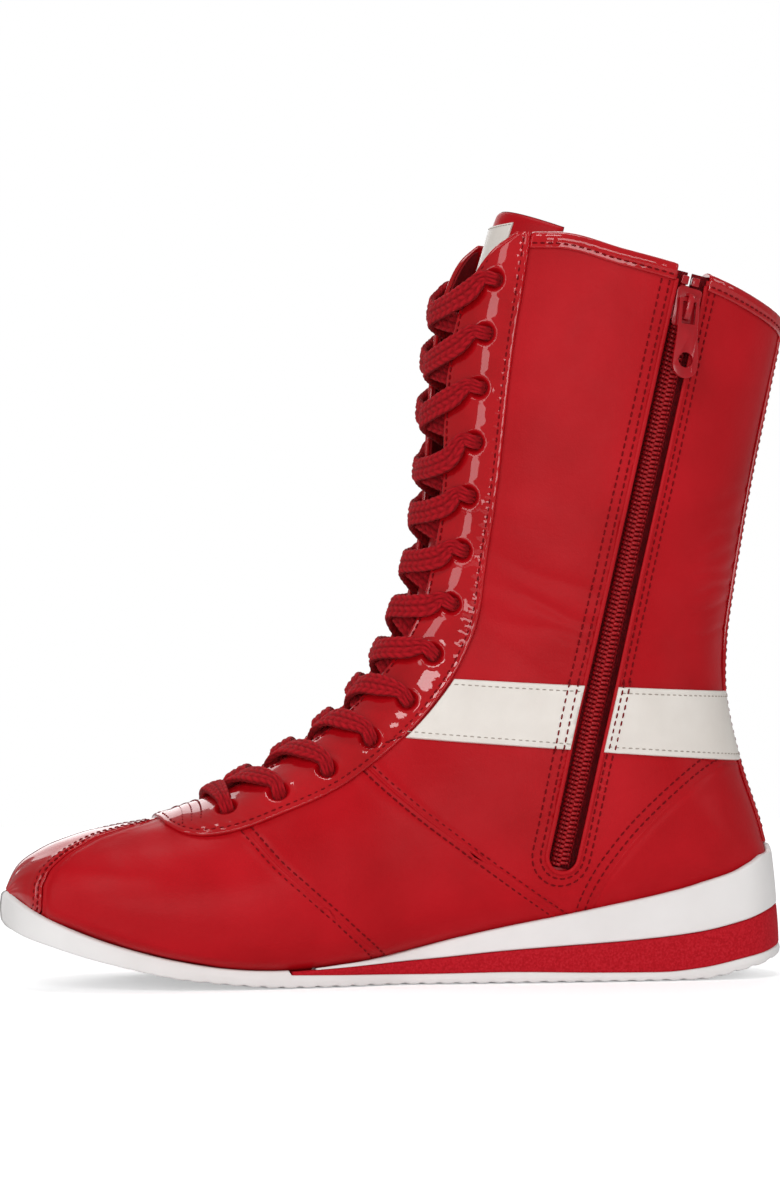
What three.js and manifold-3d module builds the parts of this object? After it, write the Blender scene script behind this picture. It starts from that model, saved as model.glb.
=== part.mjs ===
// A right-foot boxing boot with a side zip, in millimetres and +Z up.
// The toe points to -X, the heel to +X, and the inner side of the foot is at -Y.
// The origin is on the ground under the middle of the boot.
//
// Every piece of the upper is a layer of one last. A place on the last is [s, u]: s counts the
// cross-sections from the toe (0) to above the collar (22), and u goes round a section, from the ridge
// on top or in front (0) to the sole or the heel line (1). It is negative on the inner side.
// A depth d is measured outwards from the skin of the last.
import * as THREE from "three";
import { mergeVertices } from "three/addons/utils/BufferGeometryUtils.js";
import Module from "manifold-3d";

const wasm = await Module();
wasm.setup();

// ---------------------------------------------------------------- driving dimensions

// The cross-sections of the last, from the toe up: the ridge point x, z, the sole or heel point x, z,
// their y, the inner and outer half-width, the level of the widest place, and the squareness below it.
const SECTIONS = [
  [-133.6, 32.0, -132.6, 30.0, -5, -5, 2, 2, 0.6, 2],
  [-129, 40, -128.6, 26.5, -5, -5, 14, 14, 0.64, 3],
  [-120.5, 46, -121, 22, -5, -4, 24, 25, 0.68, 4],
  [-108, 50.4, -109, 16.8, -5, -3, 32, 34, 0.7, 4.8],
  [-95, 53.2, -96, 12.4, -5, -1, 37.5, 40, 0.71, 5.2],
  [-80, 56, -80.5, 8.2, -5, 0, 40.5, 43.5, 0.71, 5.2],
  [-62.5, 62, -62.5, 4.8, -5, 1, 41.5, 44.5, 0.71, 5],
  [-45.5, 71.4, -43.5, 3.6, -5, 2, 41, 44.5, 0.71, 4.8],
  [-30.5, 80.8, -22, 5, -4, 2, 38.5, 43.5, 0.7, 4.4],
  [-18.5, 90.6, 1.5, 9.2, -3, 2, 35.5, 41.5, 0.68, 4],
  [-9.5, 101.8, 33, 13.4, -2, 1, 34.3, 39, 0.65, 3.6],
  [-4, 113, 71.5, 17, -1, 0, 34.2, 36.5, 0.6, 3.2],
  [-0.2, 123.4, 109, 21.5, 0, 0, 34.5, 35, 0.55, 2.8],
  [2.4, 132, 130, 28, 0, 0, 34.9, 35, 0.51, 2.3],
  [4.6, 140.2, 128, 47, 0, 0, 35.3, 35.3, 0.5, 2],
  [6.4, 149, 120, 71, 0, 0, 35.8, 35.8, 0.5, 2],
  [8, 158.4, 114.6, 94, 0, 0, 36.4, 36.4, 0.5, 2],
  [9.4, 168.4, 114.4, 114.5, 0, 0, 37.2, 37.2, 0.5, 2],
  [10.6, 179.4, 117, 133.5, 0, 0, 38, 38, 0.5, 2],
  [12.4, 203, 123.4, 170, 0, 0, 39.3, 39.3, 0.5, 2],
  [14.8, 227, 131, 206, 0, 0, 40.4, 40.4, 0.5, 2],
  [20, 251, 139.7, 245.5, 0, 0, 41.5, 41.5, 0.5, 2],
  [26, 275, 148.5, 285, 0, 0, 42.5, 42.5, 0.5, 2],
];

// Depths of the layers, inside and outside.
const LEATHER = [-1.1, 0];
const TRIM = [0.6, 1.6]; // the pieces stitched over the leather
const STIFFENER = [-2.7, -2.3];
const LINING = [-3.9, -3.1];
const BOARD = [-2.4, -0.3];
const FOOTBED = [-6.6, -4.4];
const CLEAR = 1.2; // between the upper and the sole that holds it

// Lines on the last, as the distance round it (u) at a section (s), or the section at a distance.
const capEdge = smooth([
  [0, 4.85], [0.02, 4.7], [0.052, 4.38], [0.095, 3.6], [0.14, 2.93],
  [0.218, 2.3], [0.312, 1.85], [0.443, 1.6], [0.9, 1.6],
]);
const frontSeam = smooth([
  [0.2, 5.95], [0.25, 6.2], [0.33, 6.65], [0.42, 7.2], [0.5, 7.66], [0.6, 8.12], [0.78, 8.6], [0.9, 8.75],
]);
const middleSeam = smooth([
  [0.21, 8.8], [0.25, 8.95], [0.34, 9.35], [0.44, 9.75], [0.51, 10.05],
  [0.6, 10.35], [0.7, 10.62], [0.9, 10.8],
]);
const rearSeam = [
  [10.98, 0.9], [11, 0.74], [11.15, 0.645], [11.4, 0.603], [11.8, 0.577],
  [12.25, 0.573], [13.1, 0.605], [14.5, 0.745], [14.95, 0.985],
];
const facingEdge = smooth([
  [5.95, 0.01], [6.1, 0.026], [7, 0.044], [8.2, 0.055], [9.4, 0.065], [10.8, 0.1], [12.3, 0.12],
  [14.2, 0.126], [16, 0.134], [17.3, 0.127], [19, 0.108], [19.8, 0.112], [20.4, 0.13],
  [20.8, 0.155], [21.02, 0.2],
]);
const eyeletLine = smooth([
  [6.03, 0.145], [7.1, 0.188], [9.2, 0.205], [10.4, 0.205], [12, 0.193], [14, 0.198],
  [16, 0.213], [20.43, 0.21],
]);
const stayEdge = smooth([
  [4.8, 0.02], [4.86, 0.11], [5.2, 0.193], [5.55, 0.222], [6.2, 0.24], [6.8, 0.247], [8.4, 0.26], [10, 0.257],
  [12.4, 0.248], [14.6, 0.262], [17.3, 0.277], [20, 0.277], [21.1, 0.265],
]);
const underStay = smooth([
  [5.15, 0.012], [5.25, 0.09], [5.55, 0.16], [6, 0.195], [6.8, 0.213], [8.4, 0.226], [10, 0.226],
  [12.4, 0.217], [14.6, 0.229], [17.3, 0.238], [20, 0.238], [21, 0.238],
]);
const lastingEdge = smooth([[0, 0.9], [12.2, 0.9], [13.6, 0.985], [22, 0.985]]);
const collarLine = smooth([
  [0.2, 21.04], [0.262, 21.06], [0.32, 21.06], [0.45, 20.9], [0.6, 20.75], [0.79, 20.55], [1, 20.42],
]);

// The sole, as heights over the length x.
const groundLine = smooth([
  [-136, 27], [-130.5, 20], [-119, 14.8], [-100.4, 8.4], [-75, 2.9], [-42, 0], [96, 0], [113.7, 3.2],
  [124, 6.4], [136, 11.2],
]);
const treadTop = smooth([
  [-50, 4.6], [-23, 3.8], [0, 3.3], [30, 3.6], [63, 3], [84, 2.8], [98, 4], [113.7, 7.1], [122, 9],
  [136, 13.4],
]);
const wedgeTop = smooth([
  [-50, 5.2], [-25, 6.5], [1.8, 8.2], [29.6, 10.7], [50, 12.1], [77, 13.9], [98, 16.2], [113.7, 19.7],
  [122, 22.6], [136, 27],
]);
const RIM_SIDE_VIEW = [
  [-25, 7.2], [-5.4, 10.6], [15.7, 15.6], [43.3, 21], [63.5, 24.8], [84.2, 28.9], [98.3, 32.4],
  [113.7, 37.3], [121, 41],
];
const RIM_FOREFOOT = 0.76;
const RIM_END = [13.88, 0.965];
const WALL = 2.4; // of the sole round the upper, at its rim
const FLARE = smooth([[-136, 0.4], [-40, 0.6], [20, 1.6], [80, 2.8], [136, 3]]);

// The lacing.
const EYELET_PAIRS = 13;
const EYELET_RADIUS = 2.9;
const LACE = { width: 5.4, thick: 1.6, pinchedWidth: 3, pinchedThick: 1.9 };
const AGLET = { radius: 1.4, length: 18 };

// The zip lies in its own frame: across it (+X, to the heel), up it (+Y) and out of it (+Z).
const ZIP_FOOT = new THREE.Vector3(49.2, -33.9, 38.8);
const ZIP_HEAD = new THREE.Vector3(92.9, -39.6, 234.2);
const ZIP_FACES = new THREE.Vector3(0.09, -0.9945, -0.05);
const ZIP_LENGTH = ZIP_HEAD.distanceTo(ZIP_FOOT);
const SLOT_HALF_WIDTH = 5;
const TAPE = { inner: 0.7, outer: 7.2, z: [-4, -3.4], below: 9, above: 4 };
const COIL = { inner: 0.7, outer: 3.3, z: [-3, -1.1] };
const SLIDER = { length: 13.4, width: 9, top: [-0.8, 0.2], bottom: [-5.1, -4.2], flange: 3.6, post: 0.35 };
const CROWN = { halfWidth: 1, feet: [2.4, 3.4, 10.5, 11.4], clear: 2.5, thick: 0.9 };
const PULL = { length: 26.5, top: 3.6, end: 4.4, thick: 1.3, pivotUp: 9.3, lift: 1.25, windowHalf: 2.4 };
const PULL_LEAN = 7; // degrees, towards plumb from the leaning zip
const PULL_STAND = 5; // degrees, clear of the leather
const STOP = { length: 3, z: [-3, -1.1] };
const BOTTOM_STOP_DEPTHS = [-3, -2.1];
const GUARD = { half: 10, foot: -4, below: 8, z: [-8.2, -7.4] };

// ---------------------------------------------------------------- the last

// A curve through points of rising x that never overshoots between them.
function smooth(points) {
  const xs = points.map((p) => p[0]);
  const ys = points.map((p) => p[1]);
  const slopes = xs.slice(1).map((x, i) => (ys[i + 1] - ys[i]) / (x - xs[i]));
  const tangent = (i) => {
    if (i === 0) return slopes[0];
    if (i === xs.length - 1) return slopes[i - 1];
    const [a, b] = [slopes[i - 1], slopes[i]];
    return a * b <= 0 ? 0 : (2 * a * b) / (a + b);
  };
  return (x) => {
    if (x <= xs[0]) return ys[0];
    if (x >= xs[xs.length - 1]) return ys[ys.length - 1];
    const i = xs.findIndex((v) => v > x) - 1;
    const h = xs[i + 1] - xs[i];
    const t = (x - xs[i]) / h;
    const [t2, t3] = [t * t, t * t * t];
    return (
      ys[i] * (2 * t3 - 3 * t2 + 1) +
      tangent(i) * h * (t3 - 2 * t2 + t) +
      ys[i + 1] * (3 * t2 - 2 * t3) +
      tangent(i + 1) * h * (t3 - t2)
    );
  };
}

const lerp = THREE.MathUtils.lerp;
const clamp = THREE.MathUtils.clamp;

// The cross-section at s, as a row like those of SECTIONS.
function sectionAt(s) {
  const last = SECTIONS.length - 1;
  const at = clamp(s, 0, last);
  const i = Math.min(Math.floor(at), last - 1);
  const t = at - i;
  return SECTIONS[i].map((b, k) => {
    const c = SECTIONS[i + 1][k];
    const a = i > 0 ? SECTIONS[i - 1][k] : 2 * b - c;
    const d = i + 2 <= last ? SECTIONS[i + 2][k] : 2 * c - b;
    const [square, cube] = [2 * a - 5 * b + 4 * c - d, 3 * b - a - 3 * c + d];
    return 0.5 * (2 * b + (c - a) * t + square * t * t + cube * t * t * t);
  });
}

// The point of the skin at [s, u]: a quarter ellipse above the widest place, a squarer one below it.
function onSkin(s, u) {
  const [ridgeX, ridgeZ, soleX, soleZ, ridgeY, soleY, inner, outer, level, square] = sectionAt(s);
  const around = ((((u + 1) % 2) + 2) % 2) - 1;
  const angle = Math.abs(around) * Math.PI;
  const above = angle < Math.PI / 2;
  const power = above ? 1 : 2 / square;
  const cosine = Math.cos(angle);
  const down = above ? level * (1 - cosine) : level + (1 - level) * Math.abs(cosine) ** power;
  const side = Math.sin(angle) ** power * (around < 0 ? -inner : outer);
  return new THREE.Vector3(
    lerp(ridgeX, soleX, down),
    lerp(ridgeY, soleY, down) + side,
    lerp(ridgeZ, soleZ, down),
  );
}

const alongBoot = (s, u) => onSkin(s + 0.01, u).sub(onSkin(s - 0.01, u)).divideScalar(0.02);
const roundBoot = (s, u) => onSkin(s, u + 0.002).sub(onSkin(s, u - 0.002)).divideScalar(0.004);

function normalAt(s, u) {
  const inside = clamp(s, 0.05, SECTIONS.length - 1.05);
  return alongBoot(inside, u).cross(roundBoot(inside, u)).normalize();
}

const skin = (s, u, d) => onSkin(s, u).addScaledVector(normalAt(s, u), d);

// The [s, u] of a point of the side view, where the plane of a section passes through it.
function fromSide(x, z) {
  const off = (s) => {
    const [ax, az, bx, bz] = sectionAt(s);
    return (ax - bx) * (z - bz) - (az - bz) * (x - bx);
  };
  const step = 0.1;
  for (let s = 0; s < SECTIONS.length - 1; s += step) {
    if (off(s) * off(s + step) > 0) continue;
    let [low, high] = [s, s + step];
    for (let i = 0; i < 24; i++) {
      const middle = (low + high) / 2;
      if (off(low) * off(middle) <= 0) high = middle;
      else low = middle;
    }
    const [ax, az, bx, bz, , , , , level, square] = sectionAt(low);
    const [spanX, spanZ] = [bx - ax, bz - az];
    const down = clamp(((x - ax) * spanX + (z - az) * spanZ) / (spanX ** 2 + spanZ ** 2), 0, 1);
    const u =
      down < level
        ? Math.acos(1 - down / level) / Math.PI
        : 1 - Math.acos(((down - level) / (1 - level)) ** (square / 2)) / Math.PI;
    return [low, u];
  }
  throw new Error("no section passes through " + x + ", " + z);
}

// ---------------------------------------------------------------- solids

// A closed geometry from its corners and triangles, turned so that its faces point out.
function closed(corners, triangles) {
  let volume = 0;
  for (const [a, b, c] of triangles) {
    volume += corners[a].dot(new THREE.Vector3().crossVectors(corners[b], corners[c]));
  }
  const index = triangles.flatMap(([a, b, c]) => (volume < 0 ? [a, c, b] : [a, b, c]));
  return new THREE.BufferGeometry()
    .setAttribute("position", new THREE.Float32BufferAttribute(corners.flatMap((p) => p.toArray()), 3))
    .setIndex(index);
}

// A solid through rings of corners, closed by a fan at each end.
function loft(rings) {
  const around = rings[0].length;
  const corners = rings.flat();
  const triangles = [];
  for (let i = 0; i + 1 < rings.length; i++) {
    for (let j = 0; j < around; j++) {
      const [a, b] = [i * around + j, i * around + ((j + 1) % around)];
      triangles.push([a, b, b + around], [a, b + around, a + around]);
    }
  }
  const end = (rings.length - 1) * around;
  for (let j = 1; j + 1 < around; j++) {
    triangles.push([0, j + 1, j], [end, end + j, end + j + 1]);
  }
  return closed(corners, triangles);
}

// A curved sheet over a grid of [s, u] places, between two depths: numbers or functions of s and u.
function sheetOver(grid, [inside, outside]) {
  const depth = (d, s, u) => (typeof d === "function" ? d(s, u) : d);
  const rows = grid.length;
  const cols = grid[0].length;
  const face = (d) => grid.flatMap((row) => row.map(([s, u]) => skin(s, u, depth(d, s, u))));
  const corners = [...face(inside), ...face(outside)];
  const outer = rows * cols;
  const triangles = [];
  for (let i = 0; i + 1 < rows; i++) {
    for (let j = 0; j + 1 < cols; j++) {
      const [a, b, c, d] = [i * cols + j, i * cols + j + 1, (i + 1) * cols + j + 1, (i + 1) * cols + j];
      triangles.push([a, b, c], [a, c, d]);
      triangles.push([outer + a, outer + c, outer + b], [outer + a, outer + d, outer + c]);
    }
  }
  const edge = [];
  for (let j = 0; j + 1 < cols; j++) edge.push(j);
  for (let i = 0; i + 1 < rows; i++) edge.push(i * cols + cols - 1);
  for (let j = cols - 1; j > 0; j--) edge.push((rows - 1) * cols + j);
  for (let i = rows - 1; i > 0; i--) edge.push(i * cols);
  edge.forEach((a, k) => {
    const b = edge[(k + 1) % edge.length];
    triangles.push([a, outer + a, b], [b, outer + a, outer + b]);
  });
  return closed(corners, triangles);
}

// A panel between four edges, each a function from 0 to 1 that gives [s, u]. side is -1 or 1, or 1
// for a piece that crosses the middle. Left and right run up, bottom and top run from left to right.
function panel({ left, right, bottom, top, rows, cols, depths, side = 1 }) {
  const straight = (a, b) => (t) => [lerp(a[0], b[0], t), lerp(a[1], b[1], t)];
  const low = bottom ?? straight(left(0), right(0));
  const high = top ?? straight(left(1), right(1));
  const corner = [left(0), right(0), left(1), right(1)];
  const grid = [];
  for (let i = 0; i <= rows; i++) {
    const b = i / rows;
    const [l, r] = [left(b), right(b)];
    const row = [];
    for (let j = 0; j <= cols; j++) {
      const a = j / cols;
      const [lo, hi] = [low(a), high(a)];
      const place = [0, 1].map(
        (k) =>
          (1 - a) * l[k] + a * r[k] + (1 - b) * lo[k] + b * hi[k] -
          (1 - a) * (1 - b) * corner[0][k] - a * (1 - b) * corner[1][k] -
          (1 - a) * b * corner[2][k] - a * b * corner[3][k],
      );
      row.push([place[0], side * place[1]]);
    }
    grid.push(row);
  }
  return sheetOver(grid, depths);
}

// Edges for panels.
const overS = (line, from, to, shift = 0) => (t) => {
  const s = lerp(from, to, t);
  return [s, line(s) + shift];
};
const overU = (line, from, to, shift = 0) => (t) => {
  const u = lerp(from, to, t);
  return [line(u) + shift, u];
};
const beside = (points, shift) => {
  // a line through places, moved sideways by a share of a section
  const curve = new THREE.SplineCurve(points.map(([s, u]) => new THREE.Vector2(s, 10 * u)));
  return (t) => {
    const p = curve.getPoint(t);
    const along = curve.getTangent(t);
    return [p.x - along.y * shift, (p.y + along.x * shift) / 10];
  };
};
const straightInSideView = (a, b) => {
  // its steps shorten towards b, where the skin turns away to the heel
  const [from, to] = [onSkin(...a), onSkin(...b)];
  return (t) => {
    if (t === 0 || t === 1) return t ? b : a;
    const share = Math.sin((t * Math.PI) / 2);
    return fromSide(lerp(from.x, to.x, share), lerp(from.z, to.z, share));
  };
};

// Edges joined end to end, each over its own number of rows.
const inRows = (edges, rows) => (t) => {
  let row = t * rows.reduce((a, b) => a + b);
  let k = 0;
  while (k < rows.length - 1 && row > rows[k] + 1e-9) row -= rows[k++];
  return edges[k](clamp(row / rows[k], 0, 1));
};

// Geometry to and from manifold-3d, which only joins and cuts.
function toSolid(geometry) {
  const bare = geometry.clone();
  for (const name of Object.keys(bare.attributes)) {
    if (name !== "position") bare.deleteAttribute(name);
  }
  const merged = mergeVertices(bare, 1e-3);
  return new wasm.Manifold(
    new wasm.Mesh({
      numProp: 3,
      vertProperties: merged.attributes.position.array,
      triVerts: new Uint32Array(merged.index.array),
    }),
  );
}

function toGeometry(solid) {
  const mesh = solid.getMesh();
  return new THREE.BufferGeometry()
    .setAttribute("position", new THREE.BufferAttribute(mesh.vertProperties, 3))
    .setIndex(new THREE.BufferAttribute(mesh.triVerts, 1));
}

const cut = (geometry, ...tools) =>
  toGeometry(tools.reduce((solid, tool) => solid.subtract(toSolid(tool)), toSolid(geometry)));
const join = (...pieces) => toGeometry(pieces.map(toSolid).reduce((a, b) => a.add(b)));

// A flat outline in X and Y, given thickness from z[0] to z[1].
function plate(shape, z, curveSegments = 6) {
  const settings = { depth: z[1] - z[0], bevelEnabled: false, curveSegments };
  return new THREE.ExtrudeGeometry(shape, settings).translate(0, 0, z[0]);
}

function box(x, y, z) {
  return new THREE.BoxGeometry(x[1] - x[0], y[1] - y[0], z[1] - z[0]).translate(
    (x[0] + x[1]) / 2,
    (y[0] + y[1]) / 2,
    (z[0] + z[1]) / 2,
  );
}

// ---------------------------------------------------------------- materials

const paint = (color, roughness, metalness = 0) =>
  new THREE.MeshStandardMaterial({ color, roughness, metalness });
const smoothLeather = paint(0xb0141c, 0.45);
const patentLeather = paint(0xa00c14, 0.12);
const whiteLeather = paint(0xe8e2dc, 0.4);
const liningCloth = paint(0x8c1016, 0.9);
const laceBraid = paint(0xa8101c, 0.85);
const zipTape = paint(0x9a0c18, 0.8);
const paintedMetal = paint(0xa60e1a, 0.4, 0.3);
const whiteRubber = paint(0xebe9ea, 0.5);
const redFoam = paint(0xb81020, 0.8);
const fibreBoard = paint(0xb89a72, 0.9);
const clearPlastic = paint(0xd8c8c8, 0.2);

// ---------------------------------------------------------------- the zip's frame

const zip = new THREE.Group();
{
  const up = ZIP_HEAD.clone().sub(ZIP_FOOT).normalize();
  const out = ZIP_FACES.clone().addScaledVector(up, -ZIP_FACES.dot(up)).normalize();
  const across = new THREE.Vector3().crossVectors(up, out);
  zip.quaternion.setFromRotationMatrix(new THREE.Matrix4().makeBasis(across, up, out));
  zip.position.copy(ZIP_FOOT);
  zip.updateMatrix();
}

// A tool that cuts an upright slot with a round foot along the zip, up to a height out of its frame.
function zipSlot(halfWidth, foot, reach = 9) {
  const head = ZIP_LENGTH + 30;
  const shape = new THREE.Shape();
  shape.moveTo(-halfWidth, head);
  shape.lineTo(-halfWidth, foot + halfWidth);
  shape.absarc(0, foot + halfWidth, halfWidth, Math.PI, 2 * Math.PI, false);
  shape.lineTo(halfWidth, head);
  return plate(shape, [-9, reach], 8).applyMatrix4(zip.matrix);
}

const openSlot = zipSlot(SLOT_HALF_WIDTH, -2);
const innerSlot = zipSlot(TAPE.outer + 1.1, -12, -2.2);

// ---------------------------------------------------------------- the sole

// The rim, where the upper rises out of the sole, from the tip of the toe round to the heel.
const rim = smooth([
  [0, RIM_FOREFOOT],
  [7.7, RIM_FOREFOOT],
  ...RIM_SIDE_VIEW.map(([x, z]) => fromSide(x, z)).filter(([s]) => s > 7.9),
  RIM_END,
]);

// A point of the sole's wall: beside the rim at s, moved out, at the rim's height or at a given one.
function wallPoint(s, side, out, height) {
  const u = side * rim(s);
  const p = onSkin(s, u);
  const away = normalAt(s, u).setZ(0).normalize();
  p.addScaledVector(away, WALL + out * FLARE(p.x));
  if (height) p.z = height(p.x);
  return p;
}

// A layer of the sole, as rings at the sections given: its low face and its high face each have a
// height (none means the rim) and a share of the flare.
function soleLayer(sections, low, lowOut, high, highOut) {
  return loft(
    sections.map((s) => [
      wallPoint(s, -1, lowOut, low),
      wallPoint(s, -1, highOut, high),
      wallPoint(s, 1, highOut, high),
      wallPoint(s, 1, lowOut, low),
    ]),
  );
}

// Sections from one to another, closer together at the start (power over 1) or at the end (under 1).
const sections = (from, to, count, power = 1) =>
  Array.from({ length: count + 1 }, (_, i) => lerp(from, to, (i / count) ** power));

// The last itself, a little larger, to hollow the sole with.
const LAST_ROUND = 34;
const lastSolid = loft(
  sections(0, 15, 34).map((s) =>
    Array.from({ length: LAST_ROUND }, (_, j) => skin(s, -1 + (2 * j) / LAST_ROUND, CLEAR)),
  ),
);

// ---------------------------------------------------------------- the pieces

const boot = new THREE.Group();
boot.add(zip);

function add(name, geometry, material, group = boot) {
  const mesh = new THREE.Mesh(geometry, material);
  mesh.name = name;
  group.add(mesh);
  return mesh;
}

const WEDGE_START = 8.05;
const MIDSOLE_START = 8.3;
const gap = 0.3;
const raised = (line) => (x) => line(x) + gap;

const behind = (start) => sections(start, RIM_END[0], 14, 0.8);

// The outsole reaches the rim in the forefoot, and passes under the wedge behind it.
{
  const front = sections(0, WEDGE_START - 0.04, 17, 1.5);
  const back = behind(WEDGE_START);
  const ring = (top) => (s) => [
    wallPoint(s, -1, 1, groundLine),
    wallPoint(s, -1, 0.8, top),
    wallPoint(s, 1, 0.8, top),
    wallPoint(s, 1, 1, groundLine),
  ];
  const outsole = loft([...front.map(ring(null)), ...back.map(ring(treadTop))]);
  add("outsole", cut(outsole, lastSolid), whiteRubber);
}
add(
  "midsole_wedge",
  cut(soleLayer(behind(WEDGE_START), raised(treadTop), 0.9, wedgeTop, 0.55), lastSolid),
  redFoam,
);
add(
  "midsole",
  cut(soleLayer(behind(MIDSOLE_START), raised(wedgeTop), 0.6, null, 0), lastSolid),
  whiteRubber,
);

// A piece of even width round the sections, from u to the u across from it.
const constant = (u, from, to) => (t) => [lerp(from, to, t), u];
function patch(u, across, from, to, rows, cols, depths) {
  return panel({ left: constant(u, from, to), right: constant(across, from, to), rows, cols, depths });
}

// Inside the foot.
add("insole_board", patch(0.925, 1.075, 0.9, 12.2, 12, 2, BOARD), fibreBoard);
add("footbed", patch(0.88, 1.12, 2.4, 11.9, 9, 4, FOOTBED), liningCloth);
add("toe_puff", patch(-0.42, 0.42, 0.9, 3.1, 4, 10, STIFFENER), fibreBoard);
add("heel_counter", patch(0.74, 1.26, 12.75, 14.2, 5, 16, STIFFENER), fibreBoard);

// The toe cap, with its strip back along the ridge to the throat.
const CAP_HALF = 9;
add(
  "toe_cap",
  sheetOver(
    sections(0, 1, 7).map((b) =>
      Array.from({ length: 2 * CAP_HALF + 1 }, (_, j) => {
        const t = j / CAP_HALF - 1;
        const u = 0.9 * Math.sign(t) * Math.abs(t) ** 1.8;
        return [lerp(0.02, capEdge(Math.abs(u)), b), u];
      }),
    ),
    LEATHER,
  ),
  patentLeather,
);

// The leather of each side: vamp, waist, quarter with the shaft, and heel.
const SEAM = 0.03;
const COLLAR_DROP = 0.065;
const QUARTER_ROWS = [5, 4, 12]; // beside the middle seam, up the ankle, up the shaft
const QUARTER_LEVEL = 14.2; // where the ankle's rows end on the eyestay, as the rear seam does at the back
const REAR_SEAM_LOW = 5 / 8; // the share of the rear seam beside the first rows
const middleLine = (shift) => (t) => {
  const u = lerp(0.9, 0.22, t);
  return [middleSeam(u) + shift, u];
};
const rearSeamParts = (shift) => {
  const line = beside(rearSeam, shift);
  return [(t) => line(lerp(0, REAR_SEAM_LOW, t)), (t) => line(lerp(REAR_SEAM_LOW, 1, t))];
};
for (const [name, side] of [["medial", -1], ["lateral", 1]]) {
  add(
    "vamp_" + name,
    panel({
      left: (t) => {
        const u = 0.012 + 0.888 * (1 - t) ** 1.8;
        return [capEdge(u) + 0.07, u];
      },
      right: overU(frontSeam, 0.9, 0.2, -SEAM),
      bottom: constant(0.9, 1.67, frontSeam(0.9) - SEAM),
      top: overS(underStay, capEdge(0.012) + 0.07, frontSeam(0.2) - SEAM),
      rows: 10,
      cols: 9,
      depths: LEATHER,
      side,
    }),
    smoothLeather,
  );
  add(
    "waist_" + name,
    panel({
      left: overU(frontSeam, 0.9, 0.2, SEAM),
      right: overU(middleSeam, 0.9, 0.22, -SEAM),
      bottom: constant(0.9, frontSeam(0.9) + SEAM, middleSeam(0.9) - SEAM),
      top: overS(underStay, frontSeam(0.2) + SEAM, middleSeam(0.22) - SEAM),
      rows: 10,
      cols: 4,
      depths: LEATHER,
      side,
    }),
    smoothLeather,
  );
  const collarAt = (from, to) => overU(collarLine, from, to, -COLLAR_DROP);
  const quarter = panel({
    left: inRows(
      [middleLine(SEAM), overS(underStay, middleSeam(0.22) + SEAM, QUARTER_LEVEL),
        overS(underStay, QUARTER_LEVEL, collarLine(0.238) - COLLAR_DROP)],
      QUARTER_ROWS,
    ),
    right: inRows(
      [...rearSeamParts(-SEAM), constant(0.985, 14.98, collarLine(0.985) - COLLAR_DROP)],
      QUARTER_ROWS,
    ),
    top: collarAt(0.238, 0.985),
    rows: QUARTER_ROWS.reduce((a, b) => a + b),
    cols: 12,
    depths: LEATHER,
    side,
  });
  add("quarter_" + name, side < 0 ? cut(quarter, openSlot) : quarter, smoothLeather);
  add(
    "heel_" + name,
    panel({
      left: inRows(rearSeamParts(SEAM), QUARTER_ROWS.slice(0, 2)),
      right: overS(lastingEdge, 11.12, 14.8),
      rows: QUARTER_ROWS[0] + QUARTER_ROWS[1],
      cols: 8,
      depths: LEATHER,
      side,
    }),
    smoothLeather,
  );
  const lining = panel({
    left: overS(underStay, 5.75, collarLine(0.25) - COLLAR_DROP, 0.012),
    right: overS(lastingEdge, 5.75, collarLine(0.985) - COLLAR_DROP),
    top: collarAt(0.25, 0.985),
    rows: 14,
    cols: 9,
    depths: LINING,
    side,
  });
  add("lining_" + name, side < 0 ? cut(lining, innerSlot) : lining, liningCloth);
}
add("lining_forefoot", patch(-0.88, 0.88, 1.9, 5.65, 6, 16, LINING), liningCloth);

// ---------------------------------------------------------------- lacing

// Places along a line on the last, from its start to its end, at even distances over the skin
// (power 1) or closer together at the start (over 1).
function spaced(places, count, power = 1) {
  const lengths = [0];
  for (let i = 1; i < places.length; i++) {
    lengths.push(lengths[i - 1] + onSkin(...places[i]).distanceTo(onSkin(...places[i - 1])));
  }
  return sections(0, lengths[lengths.length - 1], count - 1, power).map((wanted) => {
    const i = lengths.findIndex((l) => l >= wanted - 1e-6);
    return places[i < 0 ? places.length - 1 : i];
  });
}
const eyelets = spaced(sections(6.03, 20.43, 400).map((s) => [s, eyeletLine(s)]), EYELET_PAIRS);

function eyeletPunch([s, u], side) {
  const normal = normalAt(s, side * u);
  return new THREE.CylinderGeometry(EYELET_RADIUS, EYELET_RADIUS, 6, 6)
    .applyQuaternion(new THREE.Quaternion().setFromUnitVectors(new THREE.Vector3(0, 1, 0), normal))
    .translate(...onSkin(s, side * u).toArray());
}
const punches = (side) => eyelets.map((place) => eyeletPunch(place, side));

for (const [name, side] of [["medial", -1], ["lateral", 1]]) {
  const facing = panel({
    left: (t) => {
      const s = lerp(5.6, 20.93, t);
      return [s, facingEdge(s) + 0.003];
    },
    right: overS(underStay, 5.6, 20.96, -0.012),
    rows: 18,
    cols: 2,
    depths: LEATHER,
    side,
  });
  add("facing_lining_" + name, cut(facing, ...punches(side)), liningCloth);
}

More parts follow.
